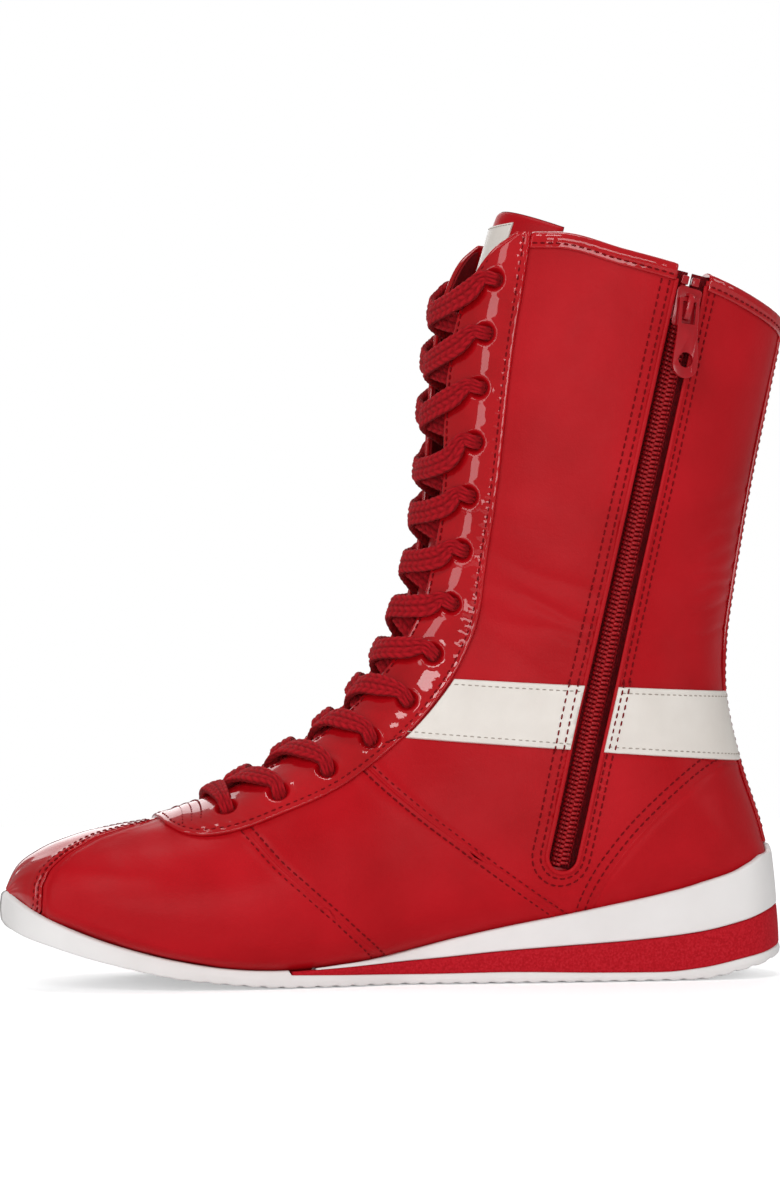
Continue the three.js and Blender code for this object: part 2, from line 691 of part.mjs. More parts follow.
// The eyestay: one U of patent leather up both sides of the opening and round its foot.
const STAY_ROWS = 27;
{
  const [foot, head] = [4.8, 21.05];
  const front = sections(0, 0.02, 20).map((u) => [foot, u]);
  const back = sections(foot, head, 900, 3).map((s) => [s, stayEdge(s)]);
  const edge = spaced([...front, ...back], STAY_ROWS, 1.35);
  const grid = [];
  for (let i = 1 - STAY_ROWS; i < STAY_ROWS; i++) {
    const [outer, far] = edge[Math.abs(i)];
    const inner = outer + 1.15 * Math.exp((foot - outer) / 0.6);
    const near = i === 0 ? 0 : facingEdge(inner);
    grid.push([0, 1, 2, 3].map((k) => [lerp(inner, outer, k / 3), Math.sign(i) * lerp(near, far, k / 3)]));
  }
  add("eyestay", cut(sheetOver(grid, TRIM), ...punches(-1), ...punches(1)), patentLeather);
}

// The tongue stands behind the opening, deeper towards its top.
const TONGUE_THICK = 3.2;
const tongueFace = smooth([[6, -5.8], [14, -5.8], [18, -8], [20, -10.5], [21.7, -13]]);
add(
  "tongue",
  panel({
    left: constant(-0.31, 6.5, 21.2),
    right: constant(0.31, 6.5, 21.2),
    top: (t) => [21.2 + 0.42 * Math.sin(Math.PI * t), lerp(-0.31, 0.31, t)],
    rows: 12,
    cols: 4,
    depths: [(s) => tongueFace(s) - TONGUE_THICK, (s) => tongueFace(s)],
  }),
  liningCloth,
);
const labelDepths = [(s) => tongueFace(s) + 0.4, (s) => tongueFace(s) + 1];
add("tongue_label", patch(-0.15, 0.15, 20.55, 21.3, 2, 4, labelDepths), whiteLeather);

// A place moved by millimetres up the boot and away from the ridge.
function moved([s, u], up, away) {
  return [s + up / alongBoot(s, u).length(), u + away / roundBoot(s, u).length()];
}

// The lace runs from the tail inside one top eyelet down to the bar across the lowest pair and up to
// the other tail. Each crossing leaves from inside one eyelet and enters the next pair from outside.
function laceKnots() {
  const { width, thick, pinchedWidth, pinchedThick } = LACE;
  const flat = (place, d, lean = 0) => ({ place, d, width, thick, lean });
  const pinched = (place, d) => ({ place, d, width: pinchedWidth, thick: pinchedThick, lean: 0 });
  const out = (k, side, up, away, d, make) => {
    const [s, u] = moved(eyelets[k], up, away);
    return make([s, side * u], d);
  };
  const half = (start) => {
    const knots = [];
    let side = start;
    for (let k = 0; k < EYELET_PAIRS; k++) {
      const through = (away, d) => out(k, side, 0, away, d, pinched);
      knots.push(through(-3, 3.5), through(-0.3, 1.7), through(-0.3, -1.2));
      if (k === EYELET_PAIRS - 1) break;
      knots.push(out(k, side, 0.2, -2.6, -3.4, pinched));
      const [here, next] = [eyelets[k], eyelets[k + 1]];
      const level = (share) => lerp(here[0], next[0], share);
      const over = side > 0 ? 1.9 : -0.6;
      const edge = facingEdge(level(0.5));
      knots.push(flat([here[0] + 0.06, side * (facingEdge(here[0]) + 0.02)], -3.4));
      knots.push(flat([level(0.26), 0], over));
      knots.push(flat([level(0.5), -side * edge * 0.88], 3.4));
      knots.push(flat([level(0.74), -side * lerp(edge, next[1], 0.42)], 3.6));
      side = -side;
    }
    const top = eyelets[EYELET_PAIRS - 1];
    const tail = (up, away, d, lean) => {
      const [s, u] = moved(top, up, away);
      return flat([s, side * u], d, lean);
    };
    knots.push(tail(0, 1, -4, 0.1), tail(-0.5, 4.5, -5.6, 0.25), tail(-4, 8, -6, 0.6));
    knots.push(tail(-11, 9.5, -6, 1), tail(-22, 10, -6, 1), tail(-36, 10, -6, 1));
    return knots;
  };
  const down = half(-1).reverse();
  const up = half(1);
  return [...down, flat([eyelets[0][0], 0], 3.6), ...up];
}

// A ribbon through knots: its broad side lies along the boot, or round it where it leans fully.
function ribbon(knots) {
  const points = knots.map(({ place, d }) => skin(...place, d));
  const curve = new THREE.CatmullRomCurve3(points, false, "centripetal");
  const spans = knots.length - 1;
  const tight = (k) => knots[k].width === LACE.pinchedWidth && Math.abs(knots[k].d - knots[k + 1].d) < 2.2;
  const stops = knots.flatMap((_, k) => (k < spans && tight(k) ? [k, k + 0.5] : [k]));
  const rings = [];
  for (const at of stops) {
    const t = at / spans;
    const k = Math.min(Math.floor(at), spans - 1);
    const mix = (read) => lerp(read(knots[k]), read(knots[k + 1]), at - k);
    const [s, u] = [mix((n) => n.place[0]), mix((n) => n.place[1])];
    const lean = mix((n) => n.lean);
    const forward = curve.getTangent(t);
    const broad = alongBoot(s, u).normalize().multiplyScalar(1 - lean);
    broad.addScaledVector(roundBoot(s, u).normalize(), lean * Math.sign(u || 1));
    broad.addScaledVector(forward, -broad.dot(forward)).normalize();
    const thin = new THREE.Vector3().crossVectors(forward, broad);
    const [w, h] = [mix((n) => n.width) / 2, mix((n) => n.thick) / 2];
    const centre = curve.getPoint(t);
    rings.push(
      [[w, h], [-w, h], [-w, -h], [w, -h]].map(([a, b]) =>
        centre.clone().addScaledVector(broad, a).addScaledVector(thin, b),
      ),
    );
  }
  return { rings, curve };
}
{
  const { rings, curve } = ribbon(laceKnots());
  add("lace", loft(rings), laceBraid);
  for (const [name, t, sign] of [["aglet_medial", 0, -1], ["aglet_lateral", 1, 1]]) {
    const onward = curve.getTangent(t).multiplyScalar(sign);
    const centre = curve.getPoint(t).addScaledVector(onward, AGLET.length / 2 + gap);
    const aglet = new THREE.CylinderGeometry(AGLET.radius, AGLET.radius, AGLET.length, 8)
      .applyQuaternion(new THREE.Quaternion().setFromUnitVectors(new THREE.Vector3(0, 1, 0), onward))
      .translate(...centre.toArray());
    add(name, aglet, clearPlastic);
  }
}

// ---------------------------------------------------------------- trim

// A geometry cut in two by a tool, the piece nearer the toe first.
function split(geometry, tool) {
  const bodies = toSolid(geometry).subtract(toSolid(tool)).decompose();
  const middle = (body) => (body.boundingBox().min[0] + body.boundingBox().max[0]) / 2;
  return bodies.sort((a, b) => middle(a) - middle(b)).map(toGeometry);
}

// The level ankle band, and the strip up the back.
const BACKSTAY_HALF = 0.07;
function ankleBand(side) {
  const left = overS(stayEdge, 9.87, 11.55, 0.008);
  const right = constant(1 - BACKSTAY_HALF - 0.008, 15.05, 16.1);
  return panel({
    left,
    right,
    bottom: straightInSideView(left(0), right(0)),
    top: straightInSideView(left(1), right(1)),
    rows: 3,
    cols: 14,
    depths: TRIM,
    side,
  });
}
const [bandFront, bandRear] = split(ankleBand(-1), openSlot);
add("ankle_band_front", bandFront, whiteLeather);
add("ankle_band_rear", bandRear, whiteLeather);
add("ankle_band_lateral", ankleBand(1), whiteLeather);
add("backstay", patch(1 - BACKSTAY_HALF, 1 + BACKSTAY_HALF, 14.15, 20.1, 16, 2, TRIM), patentLeather);

// The collar binding, folded over the top edge of the leather and the lining.
const BINDING = { drop: 5.6, lid: 1.1, outer: [0.4, 1.4], inner: [-5.6, -4.6] };
{
  const { drop, lid, outer, inner } = BINDING;
  const profile = [
    [-drop, outer[0]], [-drop, outer[1]], [0, outer[1]], [0, inner[0]],
    [-drop, inner[0]], [-drop, inner[1]], [-lid, inner[1]], [-lid, outer[0]],
  ];
  const start = 0.275;
  const rings = sections(-start, start - 2, 28).map((u) => {
    const s = collarLine(Math.abs(u) > 1 ? 2 - Math.abs(u) : Math.abs(u));
    const scale = alongBoot(s, u).length();
    return profile.map(([up, d]) => skin(s + up / scale, u, d));
  });
  const bound = cut(loft(rings), innerSlot);
  const [front, rear] = split(bound, openSlot);
  add("collar_binding_front", front, patentLeather);
  add("collar_binding_rear", rear, patentLeather);
}

// ---------------------------------------------------------------- the zip

for (const [name, side] of [["front", -1], ["rear", 1]]) {
  const across = ({ inner, outer }) => (side < 0 ? [-outer, -inner] : [inner, outer]);
  add("zip_tape_" + name, box(across(TAPE), [-TAPE.below, ZIP_LENGTH + TAPE.above], TAPE.z), zipTape, zip);
  add("zip_coil_" + name, box(across(COIL), [0, ZIP_LENGTH - 0.6], COIL.z), zipTape, zip);
  add(
    "zip_top_stop_" + name,
    box(across(COIL), [ZIP_LENGTH - 0.3, ZIP_LENGTH - 0.3 + STOP.length], STOP.z),
    paintedMetal,
    zip,
  );
}
const bottomStop = box([-COIL.outer, COIL.outer], [-gap - STOP.length, -gap], BOTTOM_STOP_DEPTHS);
add("zip_bottom_stop", bottomStop, paintedMetal, zip);
const guard = box([-GUARD.half, GUARD.half], [GUARD.foot, ZIP_LENGTH - GUARD.below], GUARD.z);
add("zip_guard", guard, liningCloth, zip);

// The slider's body, in a frame at its lower end.
const slider = new THREE.Group();
slider.position.set(0, ZIP_LENGTH - SLIDER.length - 1.2, 0);
zip.add(slider);
function roundedPlate(halfFoot, halfHead, length, corner) {
  const shape = new THREE.Shape();
  shape.moveTo(-halfFoot + corner, 0);
  shape.lineTo(halfFoot - corner, 0);
  shape.quadraticCurveTo(halfFoot, 0, halfFoot, corner);
  shape.lineTo(halfHead, length - corner);
  shape.quadraticCurveTo(halfHead, length, halfHead - corner, length);
  shape.lineTo(-halfHead + corner, length);
  shape.quadraticCurveTo(-halfHead, length, -halfHead, length - corner);
  shape.lineTo(-halfFoot, corner);
  shape.quadraticCurveTo(-halfFoot, 0, -halfFoot + corner, 0);
  return shape;
}
{
  const { length, width, top, bottom, flange, post } = SLIDER;
  const outline = roundedPlate(width / 2 - 0.4, width / 2, length, 1.6);
  const side = (x) => box(x, [2, length - 2], [TAPE.z[1] + gap, top[0] + 0.1]);
  const [foot0, foot1, head0, head1] = CROWN.feet;
  const crown = new THREE.Shape();
  const crownTop = top[1] + CROWN.clear + CROWN.thick;
  crown.moveTo(foot0, top[1] - 0.1);
  crown.lineTo(foot0, top[1] + CROWN.clear * 0.5);
  crown.quadraticCurveTo(foot0, crownTop, foot1 + 1.5, crownTop);
  crown.lineTo(head0 - 1, crownTop);
  crown.quadraticCurveTo(head1, crownTop, head1, top[1] + CROWN.clear * 0.7);
  crown.lineTo(head1, top[1] - 0.1);
  crown.lineTo(head0, top[1] - 0.1);
  crown.lineTo(head0, top[1] + CROWN.clear);
  crown.lineTo(foot1, top[1] + CROWN.clear);
  crown.lineTo(foot1, top[1] - 0.1);
  // the arch is drawn with up as its X and out as its Y
  const upOutAcross = [new THREE.Vector3(0, 1, 0), new THREE.Vector3(0, 0, 1), new THREE.Vector3(1, 0, 0)];
  const arch = plate(crown, [-CROWN.halfWidth, CROWN.halfWidth], 3).applyMatrix4(
    new THREE.Matrix4().makeBasis(...upOutAcross),
  );
  const body = join(
    plate(outline, top, 3),
    plate(outline, bottom, 3),
    side([-width / 2 + 0.1, -flange]),
    side([flange, width / 2 - 0.1]),
    box([-post, post], [8, 11.5], [bottom[1] - 0.1, top[0] + 0.1]),
    arch,
  );
  add("zip_slider", body, paintedMetal, slider);
}

// The pull, hung from the slider's crown by the bar above its window.
const pull = new THREE.Group();
pull.position.set(0, PULL.pivotUp, SLIDER.top[1] + PULL.lift);
pull.rotation.set(-THREE.MathUtils.degToRad(PULL_STAND), 0, THREE.MathUtils.degToRad(PULL_LEAN));
slider.add(pull);
{
  const { length, top, end, thick, windowHalf } = PULL;
  const bar = thick / 2;
  const round = end;
  const shape = new THREE.Shape();
  shape.moveTo(-top, bar);
  shape.lineTo(-top, -11);
  shape.lineTo(-end, -length + round + 3);
  shape.lineTo(-end, -length + round);
  shape.absarc(0, -length + round, round, Math.PI, 2 * Math.PI, false);
  shape.lineTo(end, -length + round + 3);
  shape.lineTo(top, -11);
  shape.lineTo(top, bar);
  shape.closePath();
  const hole = (points) => {
    const path = new THREE.Path();
    path.moveTo(...points[0]);
    points.slice(1).forEach((p) => path.lineTo(...p));
    path.closePath();
    shape.holes.push(path);
  };
  hole([[-windowHalf, -bar], [windowHalf, -bar], [windowHalf, -8.2], [-windowHalf, -8.2]]);
  const ring = new THREE.Path();
  ring.absarc(0, -length + 6.2, 2.6, 0, 2 * Math.PI, true);
  shape.holes.push(ring);
  add("zip_pull", plate(shape, [-bar, bar], 6), paintedMetal, pull);
}

export default boot;
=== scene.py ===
"""The looks of the boxing boot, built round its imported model.

Lengths are in millimetres until a mesh is made. A place on the last is (s, u): s counts the
cross-sections from the toe up to the collar, and u goes round one, from the ridge (0) to the sole or
the heel line (1), negative on the inner side. A depth is measured outwards from the last's skin.
"""

import math

import bpy
import numpy as np
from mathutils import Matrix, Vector


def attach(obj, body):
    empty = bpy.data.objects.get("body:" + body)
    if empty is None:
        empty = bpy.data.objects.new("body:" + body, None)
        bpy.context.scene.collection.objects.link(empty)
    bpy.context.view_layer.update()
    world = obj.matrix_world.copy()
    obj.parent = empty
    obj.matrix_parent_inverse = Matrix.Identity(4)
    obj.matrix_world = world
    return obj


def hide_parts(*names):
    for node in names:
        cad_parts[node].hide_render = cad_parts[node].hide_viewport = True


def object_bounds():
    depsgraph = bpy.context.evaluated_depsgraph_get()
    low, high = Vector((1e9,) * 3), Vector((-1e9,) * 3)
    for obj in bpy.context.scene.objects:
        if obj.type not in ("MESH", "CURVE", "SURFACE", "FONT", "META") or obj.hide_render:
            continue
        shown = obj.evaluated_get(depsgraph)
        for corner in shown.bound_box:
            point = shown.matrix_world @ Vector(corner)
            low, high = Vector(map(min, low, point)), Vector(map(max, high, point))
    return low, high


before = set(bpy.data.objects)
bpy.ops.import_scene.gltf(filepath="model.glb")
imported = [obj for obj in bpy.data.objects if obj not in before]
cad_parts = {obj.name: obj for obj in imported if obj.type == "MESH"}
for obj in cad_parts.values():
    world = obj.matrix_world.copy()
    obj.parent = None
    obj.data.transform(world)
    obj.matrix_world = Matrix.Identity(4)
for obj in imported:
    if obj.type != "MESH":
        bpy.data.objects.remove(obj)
CAD_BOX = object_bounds()
MM = 0.001
MEDIAL, LATERAL = -1, 1

# ---------------------------------------------------------------- camera, lights and floor


def aim(obj, target):
    obj.rotation_euler = (Vector(target) - obj.location).to_track_quat("-Z", "Y").to_euler()


def add_camera():
    distance = 1.5
    turn = math.radians(12)
    target = Vector((-0.0021, 0, 0.129))
    data = bpy.data.cameras.new("camera")
    data.lens = 132.8
    data.clip_end = 20
    camera = bpy.data.objects.new("camera", data)
    camera.location = target - distance * Vector((math.sin(turn), math.cos(turn), 0))
    aim(camera, target)
    bpy.context.scene.collection.objects.link(camera)
    bpy.context.scene.camera = camera


def add_light(name, place, target, size, power):
    data = bpy.data.lights.new(name, "AREA")
    data.shape = "RECTANGLE"
    data.size, data.size_y = size
    data.energy = power
    light = bpy.data.objects.new(name, data)
    light.location = place
    aim(light, target)
    bpy.context.scene.collection.objects.link(light)


def lit_for_camera(tree, otherwise, seen, socket):
    """Gives a strength one value for the camera's own rays and another for all the rest."""
    path = tree.nodes.new("ShaderNodeLightPath")
    strength = tree.nodes.new("ShaderNodeMapRange")
    strength.inputs["To Min"].default_value = otherwise
    strength.inputs["To Max"].default_value = seen
    tree.links.new(path.outputs["Is Camera Ray"], strength.inputs["Value"])
    tree.links.new(strength.outputs["Result"], socket)


def add_studio():
    bpy.context.scene.view_settings.view_transform = "Standard"
    middle = (0, 0, 0.12)
    add_light("key", (-0.9, -1.3, 1.3), middle, (0.5, 0.5), 8.2)
    add_light("side", (1.5, -0.9, 0.8), middle, (0.35, 1.2), 6)
    add_light("strip", (-1.5, -0.7, 0.5), middle, (0.3, 1.2), 4.5)
    add_light("low", (-0.2, -1.5, 0.25), middle, (1.6, 0.25), 7.5)
    add_light("top", (0.1, 0.1, 1.7), middle, (0.7, 0.4), 6)
    add_light("back", (0.2, 1.6, 0.8), middle, (1.6, 1.0), 9)
    world = bpy.data.worlds.new("studio")
    bpy.context.scene.world = world
    world.use_nodes = True
    light, shown = 0.27, 1.0  # what the surroundings give, and how bright they look
    background = world.node_tree.nodes["Background"]
    background.inputs["Color"].default_value = (1, 1, 1, 1)
    lit_for_camera(world.node_tree, light, shown, background.inputs["Strength"])
    half = 1.0
    mesh = bpy.data.meshes.new("floor")
    corners = [(-half, -half, 0), (half, -half, 0), (half, half, 0), (-half, half, 0)]
    mesh.from_pydata(corners, [], [(0, 1, 2, 3)])
    floor = bpy.data.objects.new("floor", mesh)
    floor.location.z = CAD_BOX[0][2] - 0.0002
    bpy.context.scene.collection.objects.link(floor)
    paint = bpy.data.materials.new("floor")
    paint.use_nodes = True
    paint_shader = paint.node_tree.nodes["Principled BSDF"]
    paint_shader.inputs["Base Color"].default_value = (0.86, 0.86, 0.87, 1)
    paint_shader.inputs["Roughness"].default_value = 0.7
    paint_shader.inputs["Emission Color"].default_value = (1, 1, 1, 1)
    glow = 0.45  # so that the floor looks as pale as the surroundings, and lights nothing
    lit_for_camera(paint.node_tree, 0, glow, paint_shader.inputs["Emission Strength"])
    mesh.materials.append(paint)


add_camera()
add_studio()

# ---------------------------------------------------------------- materials


class Look:
    """A material's node tree, with short ways to add the nodes used here."""

    def __init__(self, name, color, roughness, **sockets):
        self.material = bpy.data.materials.new(name)
        self.material.use_nodes = True
        self.tree = self.material.node_tree
        self.shader = self.tree.nodes["Principled BSDF"]
        self.shader.inputs["Base Color"].default_value = (*color, 1)
        self.shader.inputs["Roughness"].default_value = roughness
        for socket, value in sockets.items():
            self.shader.inputs[socket.replace("_", " ")].default_value = value
        self.place = self.tree.nodes.new("ShaderNodeTexCoord")
        self.bumped = None

    def link(self, a, b):
        self.tree.links.new(a, b)

    def node(self, kind, **settings):
        made = self.tree.nodes.new("ShaderNode" + kind)
        for key, value in settings.items():
            if hasattr(made, key):
                setattr(made, key, value)
            else:
                made.inputs[key.replace("_", " ")].default_value = value
        return made

    def noise(self, scale, detail=4, stretch=None):
        made = self.node("TexNoise", Scale=scale, Detail=detail)
        source = self.place.outputs["Object"]
        if stretch:
            mapping = self.node("Mapping", Scale=stretch)
            self.link(source, mapping.inputs["Vector"])
            source = mapping.outputs["Vector"]
        self.link(source, made.inputs["Vector"])
        return made.outputs["Fac"]

    def cells(self, scale, feature="F1"):
        made = self.node("TexVoronoi", feature=feature, Scale=scale)
        self.link(self.place.outputs["Object"], made.inputs["Vector"])
        return made.outputs["Distance"]

    def waves(self, per_mm, direction):
        mapping = self.node("Mapping", Scale=(per_mm, per_mm, 1))
        made = self.node("TexWave", bands_direction=direction, Scale=1, Distortion=0.6, Detail_Scale=2)
        self.link(self.place.outputs["UV"], mapping.inputs["Vector"])
        self.link(mapping.outputs["Vector"], made.inputs["Vector"])
        return made.outputs["Fac"]

    def ramp(self, value, stops):
        made = self.node("ValToRGB")
        made.color_ramp.elements[0].position = stops[0][0]
        made.color_ramp.elements[0].color = (*stops[0][1], 1)
        made.color_ramp.elements[1].position = stops[-1][0]
        made.color_ramp.elements[1].color = (*stops[-1][1], 1)
        for at, color in stops[1:-1]:
            made.color_ramp.elements.new(at).color = (*color, 1)
        self.link(value, made.inputs["Fac"])
        return made.outputs["Color"]

    def tint(self, value, stops):
        self.link(self.ramp(value, stops), self.shader.inputs["Base Color"])
        return self

    def gloss(self, value, low, high):
        ranged = self.node("MapRange")
        ranged.inputs["To Min"].default_value = low
        ranged.inputs["To Max"].default_value = high
        self.link(value, ranged.inputs["Value"])
        self.link(ranged.outputs["Result"], self.shader.inputs["Roughness"])
        return self

    def bump(self, value, height, strength=1.0):
        made = self.node("Bump", Strength=strength, Distance=height * MM)
        self.link(value, made.inputs["Height"])
        if self.bumped:
            self.link(self.bumped, made.inputs["Normal"])
        self.bumped = made.outputs["Normal"]
        self.link(self.bumped, self.shader.inputs["Normal"])
        return self


def smooth_leather():
    look = Look("smooth_leather", (0.44, 0.004, 0.009), 0.4, Specular_IOR_Level=0.12)
    look.tint(look.noise(26, 5), [(0.3, (0.37, 0.0025, 0.006)), (0.7, (0.48, 0.005, 0.011))])
    look.gloss(look.noise(160, 6), 0.36, 0.48)
    look.bump(look.cells(1500), 0.05, 0.5)
    return look.bump(look.noise(420, 8, (1, 1, 1.6)), 0.1, 0.6).bump(look.noise(45, 3), 0.35, 0.35).material


def patent_leather():
    look = Look("patent_leather", (0.42, 0.002, 0.006), 0.4, Specular_IOR_Level=0.05, Coat_Weight=1.0)
    look.shader.inputs["Coat Roughness"].default_value = 0.03
    look.shader.inputs["Coat IOR"].default_value = 1.42
    look.tint(look.noise(40, 4), [(0.3, (0.35, 0.0015, 0.004)), (0.7, (0.47, 0.003, 0.008))])
    return look.bump(look.noise(70, 2), 0.8, 0.7).bump(look.noise(320, 3), 0.05, 0.4).material


def white_leather():
    look = Look("white_leather", (0.80, 0.75, 0.69), 0.4, Specular_IOR_Level=0.4)
    look.tint(look.noise(60, 5), [(0.25, (0.70, 0.65, 0.595)), (0.75, (0.79, 0.745, 0.69))])
    look.gloss(look.noise(200, 5), 0.34, 0.48)
    return look.bump(look.cells(1700), 0.04, 0.4).bump(look.noise(380, 7), 0.06, 0.5).material


def red_cloth():
    look = Look("red_cloth", (0.25, 0.004, 0.009), 0.9, Specular_IOR_Level=0.1, Sheen_Weight=0.1)
    look.shader.inputs["Sheen Tint"].default_value = (1, 0.3, 0.3, 1)
    look.tint(look.noise(300, 4), [(0.3, (0.19, 0.004, 0.007)), (0.7, (0.30, 0.007, 0.012))])
    return look.bump(look.waves(3.2, "X"), 0.12, 0.5).bump(look.waves(3.2, "Y"), 0.12, 0.5).material


def lace_braid():
    look = Look("lace_braid", (0.36, 0.005, 0.011), 0.8, Specular_IOR_Level=0.1, Sheen_Weight=0.12)
    look.shader.inputs["Sheen Tint"].default_value = (1, 0.25, 0.25, 1)
    # Painted shade: the base colour follows how high each strand of the braid stands, darkest down in the
    # grooves between the strands.
    strand_height_and_groove_shade = look.node("Attribute", attribute_name="strand_height_and_groove_shade")
    look.tint(strand_height_and_groove_shade.outputs["Fac"], [
        (0.1, (0.07, 0.0006, 0.0012)), (0.45, (0.27, 0.003, 0.007)), (0.9, (0.44, 0.006, 0.013)),
    ])
    return look.bump(look.waves(9, "Y"), 0.06, 0.5).bump(look.noise(2200, 2), 0.05, 0.5).material


def zip_tape():
    look = Look("zip_tape", (0.20, 0.003, 0.007), 0.85, Specular_IOR_Level=0.1, Sheen_Weight=0.08)
    look.tint(look.noise(500, 3), [(0.3, (0.22, 0.003, 0.007)), (0.7, (0.36, 0.005, 0.012))])
    return look.bump(look.waves(4.5, "Y"), 0.16, 0.8).bump(look.waves(2.6, "X"), 0.1, 0.6).material


def nylon():
    look = Look("nylon", (0.34, 0.003, 0.008), 0.32, Specular_IOR_Level=0.3)
    look.tint(look.noise(700, 3), [(0.3, (0.28, 0.002, 0.005)), (0.7, (0.40, 0.005, 0.010))])
    return look.bump(look.noise(1500, 2), 0.02, 0.4).material


def thread(name, dark, light):
    look = Look(name, light, 0.7, Specular_IOR_Level=0.1)
    look.tint(look.noise(1800, 2), [(0.3, dark), (0.7, light)])
    return look.bump(look.noise(3000, 2), 0.05, 0.7).material


def painted_metal():
    look = Look("painted_metal", (0.36, 0.003, 0.009), 0.3, Specular_IOR_Level=0.2, Coat_Weight=0.6)
    look.shader.inputs["Coat Roughness"].default_value = 0.12
    look.tint(look.noise(220, 4), [(0.3, (0.30, 0.002, 0.006)), (0.75, (0.40, 0.004, 0.010))])
    return look.bump(look.noise(900, 4), 0.03, 0.5).material


def white_rubber():
    look = Look("white_rubber", (0.84, 0.82, 0.81), 0.5, Specular_IOR_Level=0.4)
    look.tint(look.noise(35, 5), [(0.25, (0.74, 0.72, 0.705)), (0.75, (0.82, 0.805, 0.795))])
    look.gloss(look.noise(240, 5), 0.42, 0.6)
    return look.bump(look.noise(1100, 5), 0.05, 0.5).material


def red_foam():
    look = Look("red_foam", (0.45, 0.006, 0.014), 0.75, Specular_IOR_Level=0.12)
    look.tint(look.noise(1300, 2), [
        (0.36, (0.39, 0.004, 0.010)), (0.5, (0.45, 0.006, 0.014)), (0.68, (0.50, 0.012, 0.022)),
    ])
    return look.bump(look.cells(1400), 0.1, 0.6).bump(look.noise(500, 4), 0.1, 0.5).material


def fibre_board():
    look = Look("fibre_board", (0.48, 0.33, 0.17), 0.9)
    look.tint(look.noise(600, 6), [(0.3, (0.38, 0.25, 0.12)), (0.7, (0.55, 0.40, 0.22))])
    return look.bump(look.noise(1500, 5), 0.08, 0.6).material


def clear_plastic():
    look = Look("clear_plastic", (0.7, 0.5, 0.5), 0.15, Transmission_Weight=0.5, IOR=1.45)
    return look.bump(look.noise(400, 3), 0.04, 0.4).material


LOOKS = {
    make.__name__: make()
    for make in (
        smooth_leather, patent_leather, white_leather, red_cloth, lace_braid, zip_tape, nylon,
        painted_metal, white_rubber, red_foam, fibre_board, clear_plastic,
    )
}
LOOKS["red_thread"] = thread("red_thread", (0.13, 0.0015, 0.004), (0.22, 0.003, 0.006))
LOOKS["grey_thread"] = thread("grey_thread", (0.30, 0.26, 0.22), (0.46, 0.41, 0.36))


def give_look(node, look):
    """Puts a material on a CAD node that stays as it is."""
    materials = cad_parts[node].data.materials
    materials.clear()
    materials.append(LOOKS[look])


# ---------------------------------------------------------------- the last

# The cross-sections of the last, from the toe up: the ridge point x, z, the sole or heel point x, z,
# their y, the inner and outer half-width, the level of the widest place, and the squareness below it.
SECTIONS = np.array([
    [-133.6, 32.0, -132.6, 30.0, -5, -5, 2, 2, 0.6, 2],
    [-129, 40, -128.6, 26.5, -5, -5, 14, 14, 0.64, 3],
    [-120.5, 46, -121, 22, -5, -4, 24, 25, 0.68, 4],
    [-108, 50.4, -109, 16.8, -5, -3, 32, 34, 0.7, 4.8],
    [-95, 53.2, -96, 12.4, -5, -1, 37.5, 40, 0.71, 5.2],
    [-80, 56, -80.5, 8.2, -5, 0, 40.5, 43.5, 0.71, 5.2],
    [-62.5, 62, -62.5, 4.8, -5, 1, 41.5, 44.5, 0.71, 5],
    [-45.5, 71.4, -43.5, 3.6, -5, 2, 41, 44.5, 0.71, 4.8],
    [-30.5, 80.8, -22, 5, -4, 2, 38.5, 43.5, 0.7, 4.4],
    [-18.5, 90.6, 1.5, 9.2, -3, 2, 35.5, 41.5, 0.68, 4],
    [-9.5, 101.8, 33, 13.4, -2, 1, 34.3, 39, 0.65, 3.6],
    [-4, 113, 71.5, 17, -1, 0, 34.2, 36.5, 0.6, 3.2],
    [-0.2, 123.4, 109, 21.5, 0, 0, 34.5, 35, 0.55, 2.8],
    [2.4, 132, 130, 28, 0, 0, 34.9, 35, 0.51, 2.3],
    [4.6, 140.2, 128, 47, 0, 0, 35.3, 35.3, 0.5, 2],
    [6.4, 149, 120, 71, 0, 0, 35.8, 35.8, 0.5, 2],
    [8, 158.4, 114.6, 94, 0, 0, 36.4, 36.4, 0.5, 2],
    [9.4, 168.4, 114.4, 114.5, 0, 0, 37.2, 37.2, 0.5, 2],
    [10.6, 179.4, 117, 133.5, 0, 0, 38, 38, 0.5, 2],
    [12.4, 203, 123.4, 170, 0, 0, 39.3, 39.3, 0.5, 2],
    [14.8, 227, 131, 206, 0, 0, 40.4, 40.4, 0.5, 2],
    [20, 251, 139.7, 245.5, 0, 0, 41.5, 41.5, 0.5, 2],
    [26, 275, 148.5, 285, 0, 0, 42.5, 42.5, 0.5, 2],
], float)
TOP_SECTION = len(SECTIONS) - 1


def smooth(points):
    """A curve through points of rising x that never overshoots between them."""
    xs, ys = np.array(points, float).T
    steps = np.diff(ys) / np.diff(xs)
    both = steps[:-1] * steps[1:]
    total = np.where(both > 0, steps[:-1] + steps[1:], 1)
    tangents = np.concatenate([[steps[0]], np.where(both > 0, 2 * both / total, 0), [steps[-1]]])

    def line(x):
        x = np.clip(x, xs[0], xs[-1])
        i = np.clip(np.searchsorted(xs, x, side="right") - 1, 0, len(xs) - 2)
        h = xs[i + 1] - xs[i]
        t = (x - xs[i]) / h
        low = ys[i] * (2 * t**3 - 3 * t**2 + 1) + tangents[i] * h * (t**3 - 2 * t**2 + t)
        return low + ys[i + 1] * (3 * t**2 - 2 * t**3) + tangents[i + 1] * h * (t**3 - t**2)

    return line


